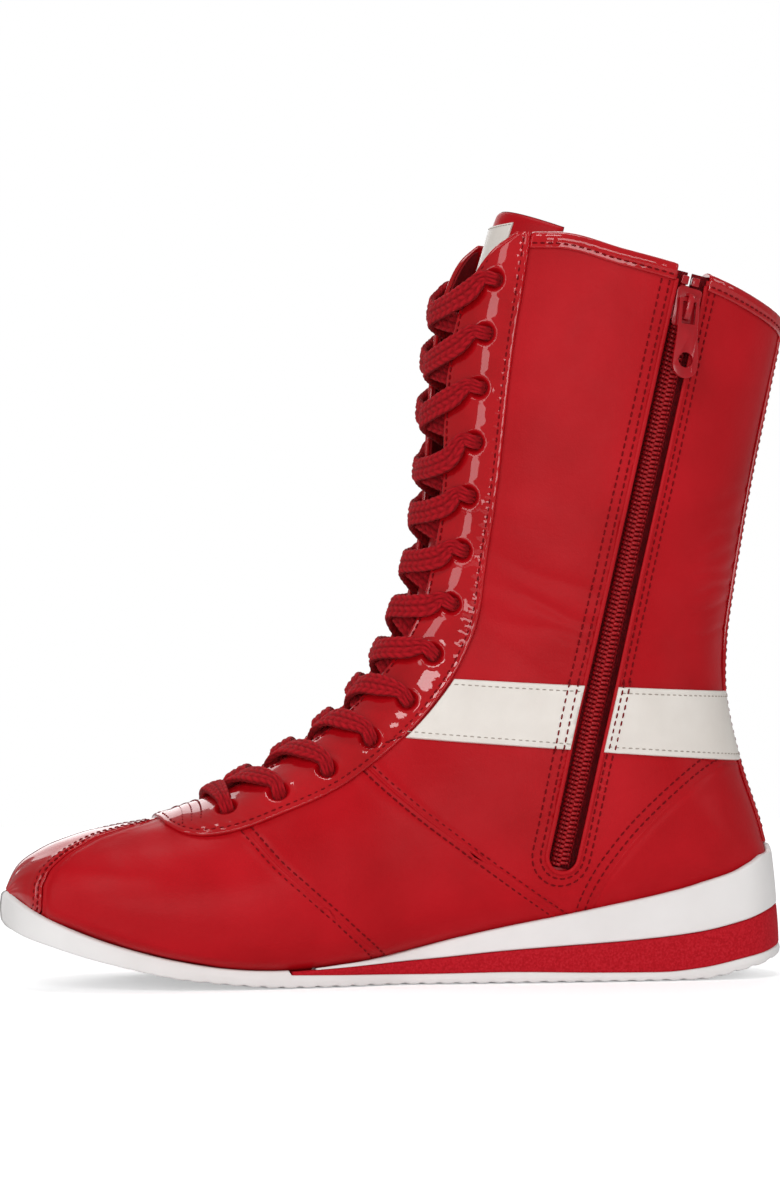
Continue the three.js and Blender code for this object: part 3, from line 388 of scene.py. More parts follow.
def section_at(s):
    at = np.clip(s, 0, TOP_SECTION)
    i = np.minimum(np.floor(at).astype(int), TOP_SECTION - 1)
    t = (at - i)[..., None]
    b, c = SECTIONS[i], SECTIONS[i + 1]
    a = np.where((i > 0)[..., None], SECTIONS[np.maximum(i - 1, 0)], 2 * b - c)
    d = np.where((i + 2 <= TOP_SECTION)[..., None], SECTIONS[np.minimum(i + 2, TOP_SECTION)], 2 * c - b)
    square, cube = 2 * a - 5 * b + 4 * c - d, 3 * b - a - 3 * c + d
    return 0.5 * (2 * b + (c - a) * t + square * t**2 + cube * t**3)


def lerp(a, b, t):
    return a + (b - a) * t


def on_skin(s, u):
    """The skin at (s, u): a quarter ellipse above the widest place, a squarer one below it."""
    s, u = np.broadcast_arrays(np.asarray(s, float), np.asarray(u, float))
    columns = np.moveaxis(section_at(s), -1, 0)
    ridge_x, ridge_z, sole_x, sole_z, ridge_y, sole_y, inner, outer, level, square = columns
    around = (u + 1) % 2 - 1
    angle = np.abs(around) * math.pi
    cosine = np.cos(angle)
    above = angle < math.pi / 2
    power = np.where(above, 1, 2 / square)
    down = np.where(above, level * (1 - cosine), level + (1 - level) * np.abs(cosine) ** power)
    side = np.abs(np.sin(angle)) ** power * np.where(around < 0, -inner, outer)
    return np.stack(
        [lerp(ridge_x, sole_x, down), lerp(ridge_y, sole_y, down) + side, lerp(ridge_z, sole_z, down)], -1
    )


def unit(v):
    return v / np.maximum(np.linalg.norm(v, axis=-1, keepdims=True), 1e-9)


def along_boot(s, u):
    return (on_skin(s + 0.01, u) - on_skin(s - 0.01, u)) / 0.02


def round_boot(s, u):
    return (on_skin(s, u + 0.002) - on_skin(s, u - 0.002)) / 0.004


def normal_at(s, u):
    inside = np.clip(s, 0.05, TOP_SECTION - 0.05)
    return unit(np.cross(along_boot(inside, u), round_boot(inside, u)))


def skin(s, u, depth):
    return on_skin(s, u) + normal_at(s, u) * np.asarray(depth, float)[..., None]


def from_side(x, z):
    """The (s, u) of points of the side view, on the outer side."""
    x, z = np.atleast_1d(np.asarray(x, float)), np.atleast_1d(np.asarray(z, float))

    def off(s):
        row = section_at(s)
        ridge_x, ridge_z, sole_x, sole_z = (row[..., k] for k in range(4))
        return (ridge_x - sole_x) * (z - sole_z) - (ridge_z - sole_z) * (x - sole_x)

    steps = np.arange(0, TOP_SECTION + 0.01, 0.1)
    values = np.stack([off(np.full_like(x, s)) for s in steps])
    first = np.argmax(values[:-1] * values[1:] <= 0, axis=0)
    low, high = steps[first], steps[first + 1]
    at_low = off(low)
    for _ in range(24):
        middle = (low + high) / 2
        below = at_low * off(middle) <= 0
        high = np.where(below, middle, high)
        low = np.where(below, low, middle)
        at_low = off(low)
    row = section_at(low)
    span_x, span_z = row[:, 2] - row[:, 0], row[:, 3] - row[:, 1]
    down = ((x - row[:, 0]) * span_x + (z - row[:, 1]) * span_z) / (span_x**2 + span_z**2)
    down = np.clip(down, 0, 1)
    level, square = row[:, 8], row[:, 9]
    upper = np.arccos(np.clip(1 - down / level, -1, 1)) / math.pi
    share = np.clip((down - level) / (1 - level), 0, 1)
    lower = 1 - np.arccos(share ** (square / 2)) / math.pi
    return low, np.where(down < level, upper, lower)


def through(points, shares):
    """A centripetal Catmull-Rom curve through points, at shares given as index and fraction."""
    padded = np.concatenate([[2 * points[0] - points[1]], points, [2 * points[-1] - points[-2]]])
    i = np.minimum(shares.astype(int), len(points) - 2)
    f = (shares - i)[:, None]
    p = [padded[i + k] for k in range(4)]
    chords = [np.linalg.norm(p[k + 1] - p[k], axis=1, keepdims=True) for k in range(3)]
    gaps = [np.maximum(chord**0.5, 1e-4) for chord in chords]
    t0, t1 = 0, gaps[0]
    t2 = t1 + gaps[1]
    t3 = t2 + gaps[2]
    t = lerp(t1, t2, f)
    a1 = (t1 - t) / (t1 - t0) * p[0] + (t - t0) / (t1 - t0) * p[1]
    a2 = (t2 - t) / (t2 - t1) * p[1] + (t - t1) / (t2 - t1) * p[2]
    a3 = (t3 - t) / (t3 - t2) * p[2] + (t - t2) / (t3 - t2) * p[3]
    b1 = (t2 - t) / (t2 - t0) * a1 + (t - t0) / (t2 - t0) * a2
    b2 = (t3 - t) / (t3 - t1) * a2 + (t - t1) / (t3 - t1) * a3
    return (t2 - t) / (t2 - t1) * b1 + (t - t1) / (t2 - t1) * b2


def drawn(points, away=0.0, count=160):
    """Places along a smooth curve through points of the side view, or beside it, on the outer side."""
    points = np.array(points, float)
    curve = through(points, np.linspace(0, len(points) - 1, count))
    forward = unit(np.gradient(curve, axis=0))
    curve = curve + away * np.stack([-forward[:, 1], forward[:, 0]], -1)
    return from_side(curve[:, 0], curve[:, 1])


def seam_through(points):
    """A seam drawn in the side view, as the section at a distance round the last."""
    s, u = drawn(points)
    return lambda around: np.interp(around, u, s)


# Lines on the last, as the distance round it (u) at a section (s), or the section at a distance.
cap_edge = smooth([
    (0, 4.85), (0.02, 4.7), (0.052, 4.38), (0.095, 3.6), (0.14, 2.93),
    (0.218, 2.3), (0.312, 1.85), (0.443, 1.6), (0.9, 1.6),
])
FRONT_SEAM = [
    (-62, 59), (-56.7, 51.7), (-48, 40.9), (-38.2, 32), (-27.9, 23.3), (-19.2, 15.6), (-9.7, 8.2), (-4, 6.5),
]
MIDDLE_SEAM = [
    (-17, 74), (-11.7, 68.4), (1.1, 57.2), (16.8, 45.4), (23.8, 40.2),
    (32.7, 33.9), (41.8, 27.7), (50.7, 22), (57, 18),
]
front_seam, middle_seam = seam_through(FRONT_SEAM), seam_through(MIDDLE_SEAM)
REAR_SEAM = [
    (60, 19), (60.6, 23.7), (62.4, 29.9), (66.1, 36.7), (71.2, 43.5),
    (76.8, 50), (83.6, 56.6), (92.2, 64), (101, 70),
    (110, 74),
]
REAR_SEAM_TOP = (15.2, 0.985)
facing_edge = smooth([
    (5.95, 0.01), (6.1, 0.026), (7, 0.044), (8.2, 0.055),
    (9.4, 0.065), (10.8, 0.1), (12.3, 0.12), (14.2, 0.126),
    (16, 0.134), (17.3, 0.127), (19, 0.108), (19.6, 0.116),
    (20.1, 0.13), (20.5, 0.153), (20.8, 0.185), (21.05, 0.235),
])
eyelet_line = smooth([
    (6.03, 0.145), (7.1, 0.188), (9.2, 0.205), (10.4, 0.205),
    (12, 0.193), (14, 0.198), (16, 0.213), (20.43, 0.21),
])
stay_edge = smooth([
    (4.8, 0.02), (4.86, 0.11), (5.2, 0.193), (5.55, 0.222),
    (6.2, 0.24), (6.8, 0.247), (8.4, 0.26), (10, 0.257),
    (12.4, 0.248), (14.6, 0.262), (17.3, 0.277), (20, 0.277), (21.1, 0.265),
])
under_stay = smooth([
    (5.15, 0.012), (5.25, 0.09), (5.55, 0.16), (6, 0.195),
    (6.8, 0.213), (8.4, 0.226), (10, 0.226), (12.4, 0.217),
    (14.6, 0.229), (17.3, 0.238), (20, 0.238), (21, 0.238),
])
lasting_edge = smooth([(0, 0.9), (12.2, 0.9), (13.6, 0.985), (22, 0.985)])
collar_line = smooth([
    (0.2, 21.04), (0.262, 21.06), (0.32, 21.06), (0.45, 20.9), (0.6, 20.75), (0.79, 20.55), (1, 20.42),
])

# The sole, as heights over the length x.
ground_line = smooth([
    (-136, 25.5), (-130.5, 18.6), (-119, 14), (-100.4, 8.4), (-75, 2.9), (-42, 0), (96, 0),
    (113.7, 3.2), (124, 6.4), (136, 11.2),
])
tread_top = smooth([
    (-50, 4.6), (-23, 3.8), (0, 3.3), (30, 3.6), (63, 3),
    (84, 2.8), (98, 4), (113.7, 7.1), (122, 9), (136, 13.4),
])
wedge_top = smooth([
    (-50, 5.2), (-25, 6.5), (1.8, 8.2), (29.6, 10.7), (50, 12.1), (77, 13.9), (98, 16.2), (113.7, 19.7),
    (122, 22.6), (136, 27),
])
flare = smooth([(-136, 0.4), (-40, 0.6), (20, 1.6), (80, 2.8), (136, 3)])
RIM_SIDE_VIEW = [
    (-25, 7.2), (-5.4, 10.6), (15.7, 15.6), (43.3, 21), (63.5, 24.8), (84.2, 28.9), (98.3, 32.4),
    (113.7, 37.3), (121, 41),
]
RIM_FOREFOOT = 0.76
RIM_END = (13.88, 0.965)
WALL = 2.4

# The zip's own frame: across it (to the heel), up it and out of it.
ZIP_FOOT = np.array([49.2, -33.9, 38.8])
ZIP_HEAD = np.array([92.9, -39.6, 234.2])
ZIP_LENGTH = float(np.linalg.norm(ZIP_HEAD - ZIP_FOOT))
ZIP_UP = unit(ZIP_HEAD - ZIP_FOOT)
ZIP_OUT = np.array([0.09, -0.9945, -0.05])
ZIP_OUT = unit(ZIP_OUT - ZIP_UP * ZIP_OUT.dot(ZIP_UP))
ZIP_ACROSS = np.cross(ZIP_UP, ZIP_OUT)
SLOT_HALF = 5.6
SLOT_FOOT = -2


def zip_place(x, y, z):
    """Points of the zip's frame, in the boot's."""
    x, y, z = (np.asarray(v, float)[..., None] for v in np.broadcast_arrays(x, y, z))
    return ZIP_FOOT + ZIP_ACROSS * x + ZIP_UP * y + ZIP_OUT * z


# ---------------------------------------------------------------- meshes


def make(name, corners, faces, look, uvs=None, replaces=(), slot=None):
    """A smooth-shaded piece of the boot, from corners in millimetres."""
    mesh = bpy.data.meshes.new(name)
    mesh.from_pydata((np.asarray(corners) * MM).tolist(), [], faces)
    mesh.polygons.foreach_set("use_smooth", [True] * len(mesh.polygons))
    if uvs is not None:
        layer = mesh.uv_layers.new(name="UVMap")
        loops = np.zeros(len(mesh.loops), int)
        mesh.loops.foreach_get("vertex_index", loops)
        layer.data.foreach_set("uv", np.asarray(uvs, float)[loops].ravel())
    mesh.materials.append(LOOKS[look])
    mesh.validate()
    mesh.update()
    piece = bpy.data.objects.new(name, mesh)
    bpy.context.scene.collection.objects.link(piece)
    face_out(mesh)
    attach(piece, "boot")
    if replaces:
        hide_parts(*replaces)
    return piece


def face_out(mesh):
    """Turns a closed mesh's faces to point out."""
    corners = np.zeros(3 * len(mesh.vertices))
    mesh.vertices.foreach_get("co", corners)
    corners = corners.reshape(-1, 3)
    mesh.calc_loop_triangles()
    index = np.zeros(3 * len(mesh.loop_triangles), int)
    mesh.loop_triangles.foreach_get("vertices", index)
    a, b, c = (corners[index.reshape(-1, 3)[:, k]] for k in range(3))
    volume = float(np.einsum("ij,ij->i", a, np.cross(b, c)).sum())
    if volume < 0:
        mesh.flip_normals()


def grid_faces(rows, cols, first=0, wrap=False):
    """The quads of a grid of corners, in rows."""
    across = cols if wrap else cols - 1
    i, j = np.meshgrid(np.arange(rows - 1), np.arange(across), indexing="ij")
    a = first + i * cols + j
    b = first + i * cols + (j + 1) % cols
    return np.stack([a, b, b + cols, a + cols], -1).reshape(-1, 4).tolist()


def lengths_along(points, axis):
    steps = np.linalg.norm(np.diff(points, axis=axis), axis=-1)
    start = np.zeros_like(np.take(steps, [0], axis))
    return np.concatenate([start, np.cumsum(steps, axis)], axis)


def edge_distance(points, sides):
    """How far each corner of a grid is from the named edges: l, r, b and t."""
    across, up = lengths_along(points, 1), lengths_along(points, 0)
    far = {"l": across, "r": across[:, -1:] - across, "b": up, "t": up[-1:] - up}
    return np.min([far[side] for side in sides], axis=0)


def sheet_parts(s, u, inside, outside):
    """Corners, faces and UVs of a closed sheet over a grid of places, between two depths."""
    rows, cols = s.shape
    outer = skin(s, u, np.broadcast_to(outside, s.shape))
    inner = skin(s, u, np.broadcast_to(inside, s.shape))
    flat = np.stack([lengths_along(outer, 1), lengths_along(outer, 0)], -1).reshape(-1, 2)
    faces = grid_faces(rows, cols)
    back = [face[::-1] for face in grid_faces(rows, cols, rows * cols)]
    rim = np.concatenate([
        np.arange(cols), np.arange(1, rows) * cols + cols - 1,
        (rows - 1) * cols + np.arange(cols - 2, -1, -1), np.arange(rows - 2, 0, -1) * cols,
    ])
    after = np.roll(rim, -1)
    walls = np.stack([after, rim, rim + rows * cols, after + rows * cols], -1).tolist()
    corners = np.concatenate([outer.reshape(-1, 3), inner.reshape(-1, 3)])
    return corners, faces + back + walls, np.tile(flat, (2, 1))


def add_sheet(node, ending, look, s, u, inside, outside):
    """A closed sheet over a grid of places, in place of a node."""
    corners, faces, uvs = sheet_parts(s, u, inside, outside)
    return make(node + ending, corners, faces, look, uvs, [node])


def rolled(distance, radius):
    """The drop of a rounded edge at a distance from it."""
    near = np.clip(1 - distance / radius, 0, 1)
    return -radius * (1 - np.sqrt(1 - near**2))


def spread(length, step, fine=(0.12, 0.35, 0.7, 1.1, 1.6, 2.2, 3)):
    """Shares from 0 to 1 along an edge: even steps, and fine ones at both ends."""
    ends = np.array([f / length for f in fine if f < length / 3])
    count = max(2, round((length - 2 * fine[-1]) / step))
    inner = np.linspace(ends[-1], 1 - ends[-1], count + 1)[1:-1]
    return np.concatenate([[0], ends, inner, 1 - ends[::-1], [1]])


def over_s(line, start, end, shift=0.0):
    return lambda t: np.stack([lerp(start, end, t), line(lerp(start, end, t)) + shift], -1)


def over_u(line, start, end, shift=0.0):
    return lambda t: np.stack([line(lerp(start, end, t)) + shift, lerp(start, end, t)], -1)


def constant(u, start, end):
    return lambda t: np.stack([lerp(start, end, t), np.full_like(t, u)], -1)


def in_rows(edges, rows):
    """Edges joined end to end, each over its own share of the rows."""
    stops = np.cumsum([0, *rows]) / sum(rows)

    def edge(t):
        k = np.clip(np.searchsorted(stops, t, side="right") - 1, 0, len(edges) - 1)
        local = (t - stops[k]) / (stops[k + 1] - stops[k])
        return np.choose(k[..., None], [e(local) for e in edges])

    return edge


def places(left, right, bottom=None, top=None, up=40, over=40):
    """A grid of places between four edges. Left and right run up, bottom and top from left to right."""
    ends = np.array([0.0, 1.0])
    l01, r01 = left(ends), right(ends)
    bottom = bottom or (lambda t: lerp(l01[0], r01[0], t[..., None]))
    top = top or (lambda t: lerp(l01[1], r01[1], t[..., None]))
    up = up if isinstance(up, np.ndarray) else np.linspace(0, 1, up + 1)
    over = over if isinstance(over, np.ndarray) else np.linspace(0, 1, over + 1)
    b, a = np.meshgrid(up, over, indexing="ij")
    a, b = a[..., None], b[..., None]
    sides = (1 - a) * left(b[..., 0]) + a * right(b[..., 0])
    sides = sides + (1 - b) * bottom(a[..., 0]) + b * top(a[..., 0])
    corners = (1 - a) * (1 - b) * l01[0] + a * (1 - b) * r01[0] + (1 - a) * b * l01[1] + a * b * r01[1]
    grid = sides - corners
    return grid[..., 0], grid[..., 1]


# ---------------------------------------------------------------- the leather of the upper

LEATHER_INSIDE = -1.1
LINING = (-3.9, -3.1)
SEAM = -0.006  # the edges lap a little
WAIST_LAP = 0.02  # the waist runs further under the quarter
STITCH_IN = 1.75  # from a seam's edge to its row of stitches


def skin_waves(s, u):
    """Slow unevenness of the leather over the last."""
    slow = np.sin(1.7 * s + 9 * u) * np.sin(0.9 * s - 14 * u + 1.3)
    return 0.22 * slow + 0.09 * np.sin(4.1 * s + 31 * u + 0.7) * np.sin(2.7 * s - 23 * u)


def creases(points):
    """Fine folds where the ankle bends, behind the zip and in front of it."""
    x, z = points[..., 0], points[..., 2]
    drop = np.zeros_like(x)
    behind = 1 / (1 + np.exp(-(x - 100) / 3))
    for k, (level, slope, depth) in enumerate([
        (127, 0.16, 0.3), (133.5, 0.22, 0.42), (139, 0.2, 0.5), (144.5, 0.27, 0.45), (151, 0.3, 0.5),
        (157, 0.24, 0.35), (164, 0.33, 0.3), (118, 0.1, 0.3),
    ]):
        line = level + slope * (x - 112) + 0.8 * np.sin(0.35 * x + 1.9 * k)
        drop += depth * behind * np.exp(-(((z - line) / 1.1) ** 2))
    front = np.exp(-(((x - 47) / 17) ** 2))
    for k, (level, slope, depth) in enumerate([(117, -0.28, 0.5), (125, -0.36, 0.6), (135, -0.42, 0.4)]):
        line = level + slope * (x - 47) + 1.2 * np.sin(0.16 * x + 2.3 * k)
        drop += depth * front * np.exp(-(((z - line) / 2.4) ** 2))
    return drop


def leather(name, s, u, sides, look="smooth_leather", raised=0.0, roll=0.3, groove=0.22, folded=False):
    """A leather panel over a grid of places, with rounded edges and a groove along each sewn one."""
    points = on_skin(s, u)
    distance = edge_distance(points, sides)
    depth = raised + skin_waves(s, u) + rolled(distance, roll)
    swell = 0.2 * np.exp(-(((distance - 4) / 2) ** 2))
    depth += swell - groove * np.exp(-(((distance - STITCH_IN) / 0.5) ** 2))
    if folded:
        depth -= creases(points)
    return add_sheet(name, "_leather", look, s, u, LEATHER_INSIDE, depth)


def rear_line(shift):
    """The rear seam moved sideways by a share of a section, as a line from 0 to 1."""
    s, u = drawn(REAR_SEAM)
    onward = np.linspace(0, 1, 24)[1:]
    s = np.concatenate([s, lerp(s[-1], REAR_SEAM_TOP[0], onward)])
    u = np.concatenate([u, lerp(u[-1], REAR_SEAM_TOP[1], onward)])
    ds, du = np.gradient(s), 10 * np.gradient(u)
    size = np.hypot(ds, du)
    s, u = s - du / size * shift, u + ds / size * shift / 10
    shares = np.linspace(0, 1, len(s))
    return lambda t: np.stack([np.interp(t, shares, s), np.interp(t, shares, u)], -1)


QUARTER_ROWS = (8, 4, 12)
QUARTER_LEVEL = 14.2
REAR_SEAM_LOW = 0.6
COLLAR_DROP = 0.065


def rear_parts(shift):
    line = rear_line(shift)
    return [lambda t: line(REAR_SEAM_LOW * t), lambda t: line(lerp(REAR_SEAM_LOW, 1, t))]


def add_toe_cap():
    t = spread(50, 0.9, (0.2, 0.5, 0.9, 1.4, 2, 2.8))
    over = np.linspace(-1, 1, 121)
    u = 0.9 * np.sign(over) * np.abs(over) ** 1.8
    s = 0.02 + (cap_edge(np.abs(u))[None, :] - 0.02) * t[:, None]
    leather("toe_cap", s, np.broadcast_to(u, s.shape), "t", "patent_leather", 0.35, 0.6, 0.25)


def add_side(name, side):
    over, up = spread(85, 1.3), spread(80, 0.9)
    s, u = places(
        lambda t: over_u(cap_edge, 0.012, 0.9, 0.03)((1 - t) ** 1.8),
        over_u(front_seam, 0.9, 0.2, -SEAM), constant(0.9, 1.63, float(front_seam(0.9)) - SEAM),
        over_s(under_stay, float(cap_edge(0.012)) + 0.03, float(front_seam(0.2)) - SEAM), up, over,
    )
    leather("vamp_" + name, s, side * u, "lr")
    s, u = places(
        over_u(front_seam, 0.9, 0.2, SEAM), over_u(middle_seam, 0.9, 0.22, WAIST_LAP),
        constant(0.9, float(front_seam(0.9)) + SEAM, float(middle_seam(0.9)) + WAIST_LAP),
        over_s(under_stay, float(front_seam(0.2)) + SEAM, float(middle_seam(0.22)) + WAIST_LAP),
        up, spread(50, 1.3),
    )
    leather("waist_" + name, s, side * u, "lr")
    collar_at = float(collar_line(0.238)) - COLLAR_DROP
    behind = constant(0.992, REAR_SEAM_TOP[0], float(collar_line(0.992)) - COLLAR_DROP)
    s, u = places(
        in_rows([
            over_u(middle_seam, 0.9, 0.22, SEAM),
            over_s(under_stay, float(middle_seam(0.22)) + SEAM, QUARTER_LEVEL),
            over_s(under_stay, QUARTER_LEVEL, collar_at),
        ], QUARTER_ROWS),
        in_rows([*rear_parts(-SEAM), behind], QUARTER_ROWS),
        None, over_u(collar_line, 0.238, 0.992, -COLLAR_DROP), spread(230, 1.1), spread(100, 1.2),
    )
    quarter = leather("quarter_" + name, s, side * u, "l", folded=True)
    s, u = places(
        in_rows(rear_parts(SEAM), QUARTER_ROWS[:2]),
        over_s(lasting_edge, 11.12, REAR_SEAM_TOP[0] - 0.03),
        None, None, spread(80, 1.2), spread(45, 1.2),
    )
    leather("heel_" + name, s, side * u, "l")
    s, u = places(
        over_s(under_stay, 5.75, float(collar_line(0.25)) - COLLAR_DROP, 0.012),
        over_s(lasting_edge, 5.75, float(collar_line(0.985)) - COLLAR_DROP),
        None, over_u(collar_line, 0.25, 0.985, -COLLAR_DROP), 90, 50,
    )
    inner, outer = LINING[0], LINING[1] + 0.5 * skin_waves(s, u)
    return quarter, add_sheet("lining_" + name, "_cloth", "red_cloth", s, side * u, inner, outer)


def slot_outline(half, foot, steps=14):
    """A slot's outline in the zip's frame, up one side, from the head round the foot and back."""
    head = ZIP_LENGTH + 8
    turn = np.linspace(math.pi, 2 * math.pi, steps)
    rise = np.linspace(head, foot + half, 200)[:-1]
    x = np.concatenate([np.full(len(rise), -half), half * np.cos(turn), np.full(len(rise), half)])
    y = np.concatenate([rise, foot + half + half * np.sin(turn), rise[::-1]])
    return x, y


def cut_slot(piece, half, foot, near, far):
    """Cuts the zip's slot out of a piece, between two depths of the zip's frame."""
    x, y = slot_outline(half, foot)
    y = np.where(y > ZIP_LENGTH, ZIP_LENGTH + 40, y)
    count = len(x)
    corners = np.concatenate([zip_place(x, y, near), zip_place(x, y, far)]) * MM
    faces = [list(range(count))[::-1], list(range(count, 2 * count))]
    faces += [[k, (k + 1) % count, count + (k + 1) % count, count + k] for k in range(count)]
    mesh = bpy.data.meshes.new("slot")
    mesh.from_pydata(corners.tolist(), [], faces)
    face_out(mesh)
    tool = bpy.data.objects.new("slot", mesh)
    bpy.context.scene.collection.objects.link(tool)
    modifier = piece.modifiers.new("slot", "BOOLEAN")
    modifier.object = tool
    modifier.solver = "EXACT"
    with bpy.context.temp_override(object=piece, active_object=piece, selected_objects=[piece]):
        bpy.ops.object.modifier_apply(modifier=modifier.name)
    bpy.data.objects.remove(tool)
    piece.data.polygons.foreach_set("use_smooth", [True] * len(piece.data.polygons))


def swept(centres, normals, profile):
    """Rings along centres. The profile's points are sideways and outwards in millimetres."""
    forward = unit(np.gradient(centres, axis=0))
    sideways = unit(np.cross(forward, unit(normals)))
    outward = np.cross(sideways, forward)
    return centres[:, None] + sideways[:, None] * profile[:, :1] + outward[:, None] * profile[:, 1:]


def loft_faces(rows, around):
    """The faces of a solid through rings of corners, closed at both ends."""
    count = rows * around
    ends = [list(range(around))[::-1], list(range(count - around, count))]
    return grid_faces(rows, around, wrap=True) + ends


def loft(name, rings, look, replaces=(), slot=None):
    """One solid through rings of corners."""
    rows, around = rings.shape[:2]
    along = lengths_along(rings.mean(1)[:, None], 0)
    across = lengths_along(rings, 1)
    uvs = np.stack([across, np.broadcast_to(along, across.shape)], -1).reshape(-1, 2)
    return make(name, rings.reshape(-1, 3), loft_faces(rows, around), look, uvs, replaces, slot)


def joined(solids):
    """The corners and faces of many small solids, each through as many rings as the others."""
    rows, around = solids[0].shape[:2]
    count = rows * around
    once = loft_faces(rows, around)
    faces = [[k * count + v for v in face] for k in range(len(solids)) for face in once]
    return np.concatenate([rings.reshape(-1, 3) for rings in solids]), faces


def short_thread(spot, forward, sideways, out, length, radius, stations):
    """The rings of one stitch, from stations of its place along, its size and its rise."""
    turn = np.linspace(0, 2 * math.pi, 6, endpoint=False)
    ring = np.outer(np.cos(turn), sideways) + np.outer(np.sin(turn), out)
    return np.array([
        spot + forward * (along * length) + out * (rise * radius) + ring * (size * radius)
        for along, size, rise in stations
    ])


def round_profile(half, thick, points=14, power=0.7):
    """A flattened round: half its width, and its thickness."""
    turn = np.linspace(0, 2 * math.pi, points, endpoint=False)
    c, s = np.cos(turn), np.sin(turn)
    x = half * np.sign(c) * np.abs(c) ** power
    return np.stack([x, thick / 2 * np.sign(s) * np.abs(s) ** power], -1)


def on_zip_side(x, y):
    """The place on the skin under points of the zip's frame."""
    spot = zip_place(x, y, 0)
    s, u = from_side(spot[:, 0], spot[:, 2])
    return s, -u


def even(points, step):
    """Shares of a polyline's points at even distances, as indices that may be fractions."""
    total = np.concatenate([[0], np.cumsum(np.linalg.norm(np.diff(points, axis=0), axis=1))])
    count = max(2, int(round(total[-1] / step)) + 1)
    return np.interp(np.linspace(0, total[-1], count), total, np.arange(len(points)))


def resample(step, s, u, depth=0.0):
    """A line of places at even distances: its s, u, points and normals."""
    s, u = np.asarray(s, float), np.asarray(u, float)
    at = even(on_skin(s, u), step)
    index = np.arange(len(s))
    s, u = np.interp(at, index, s), np.interp(at, index, u)
    return s, u, skin(s, u, np.full_like(s, depth)), normal_at(s, u)


THREADS = {"red_thread": [], "grey_thread": []}
STITCH_STATIONS = (
    (-0.5, 0.15, -1.1), (-0.44, 0.8, -0.45), (-0.2, 1, 0.2),
    (0.2, 1, 0.2), (0.44, 0.8, -0.45), (0.5, 0.15, -1.1),
)


def stitch(s, u, depth, pitch=2.7, length=2.05, radius=0.3, look="red_thread", wave=1.0):
    """A row of stitches along places of the skin, each a short rounded thread."""
    s, u, points, normals = resample(pitch, s, u, depth)
    points = points + normals * (wave * skin_waves(s, u))[:, None]
    forward = unit(np.gradient(points, axis=0))
    sideways = unit(np.cross(forward, normals))
    for spot in zip(points, forward, sideways, normals):
        THREADS[look].append(short_thread(*spot, length, radius, STITCH_STATIONS))


def add_threads():
    for look, made in THREADS.items():
        make("stitching_" + look, *joined(made), look, slot="lace_braid")


def shifted(s, u, away):
    """Places moved over the skin by millimetres, to one side of the line that they make."""
    s, u = np.asarray(s, float), np.asarray(u, float)
    forward = unit(np.gradient(on_skin(s, u), axis=0))
    wanted = np.cross(forward, normal_at(s, u)) * np.asarray(away, float).reshape(-1, 1)
    a, r = along_boot(s, u), round_boot(s, u)
    aa, rr, ar = (np.einsum("ij,ij->i", p, q) for p, q in ((a, a), (r, r), (a, r)))
    aw, rw = np.einsum("ij,ij->i", a, wanted), np.einsum("ij,ij->i", r, wanted)
    down = aa * rr - ar**2
    return s + (rr * aw - ar * rw) / down, u + (aa * rw - ar * aw) / down


def seam_stitches():
    """The two rows beside each seam of the leather."""
    v = np.linspace(0, 1, 80)
    seams = (FRONT_SEAM, MIDDLE_SEAM)
    rows = [(points, away, 0.245, 0.8) for points in seams for away in (-STITCH_IN, STITCH_IN)]
    rows += [(REAR_SEAM, away, 0, 0.86) for away in (1.6, 4.6)]
    for side in (MEDIAL, LATERAL):
        for points, away, start, end in rows:
            s, u = drawn(points, away)
            kept = (u > start) & (u < end)
            stitch(s[kept], side * u[kept], 0.0)
        cap = 0.03 + 0.8 * v**1.8
        for away in (1.4, 3.2):
            near_ridge = np.clip((cap - 0.03) / 0.04, 0.5, 1)
            row = shifted(cap_edge(cap), side * cap, -side * away * near_ridge)
            stitch(*row, 0.4, 2.3, 1.7)


add_toe_cap()
for side_name, side_sign in (("medial", MEDIAL), ("lateral", LATERAL)):
    side_quarter, side_lining = add_side(side_name, side_sign)
    if side_sign == MEDIAL:
        cut_slot(side_quarter, SLOT_HALF, SLOT_FOOT, -9, 9)
        cut_slot(side_lining, 8.3, -12, -9, -2.2)
seam_stitches()

# ---------------------------------------------------------------- the sole


def rim_places():
    """The line where the upper rises out of the sole, from the tip of the toe round to the heel."""
    x, z = np.array(RIM_SIDE_VIEW, float).T
    side_s, side_u = from_side(x, z)
    kept = side_s > 7.9
    line = smooth([(0, RIM_FOREFOOT), (7.7, RIM_FOREFOOT), *zip(side_s[kept], side_u[kept]), RIM_END])
    s = np.concatenate([0.02 + 1.2 * np.linspace(0, 1, 26) ** 1.6, np.linspace(1.2, 12, 250)[1:]])
    s = np.concatenate([s, np.linspace(12, RIM_END[0], 70)[1:], np.full(12, RIM_END[0])])
    u = line(s)
    u[-12:] = lerp(RIM_END[1], 0.9995, np.linspace(0, 1, 13)[1:])
    return s, u


RIM_S, RIM_U = rim_places()
LUG = 6.0  # pitch of the lugs along the outsole's edge


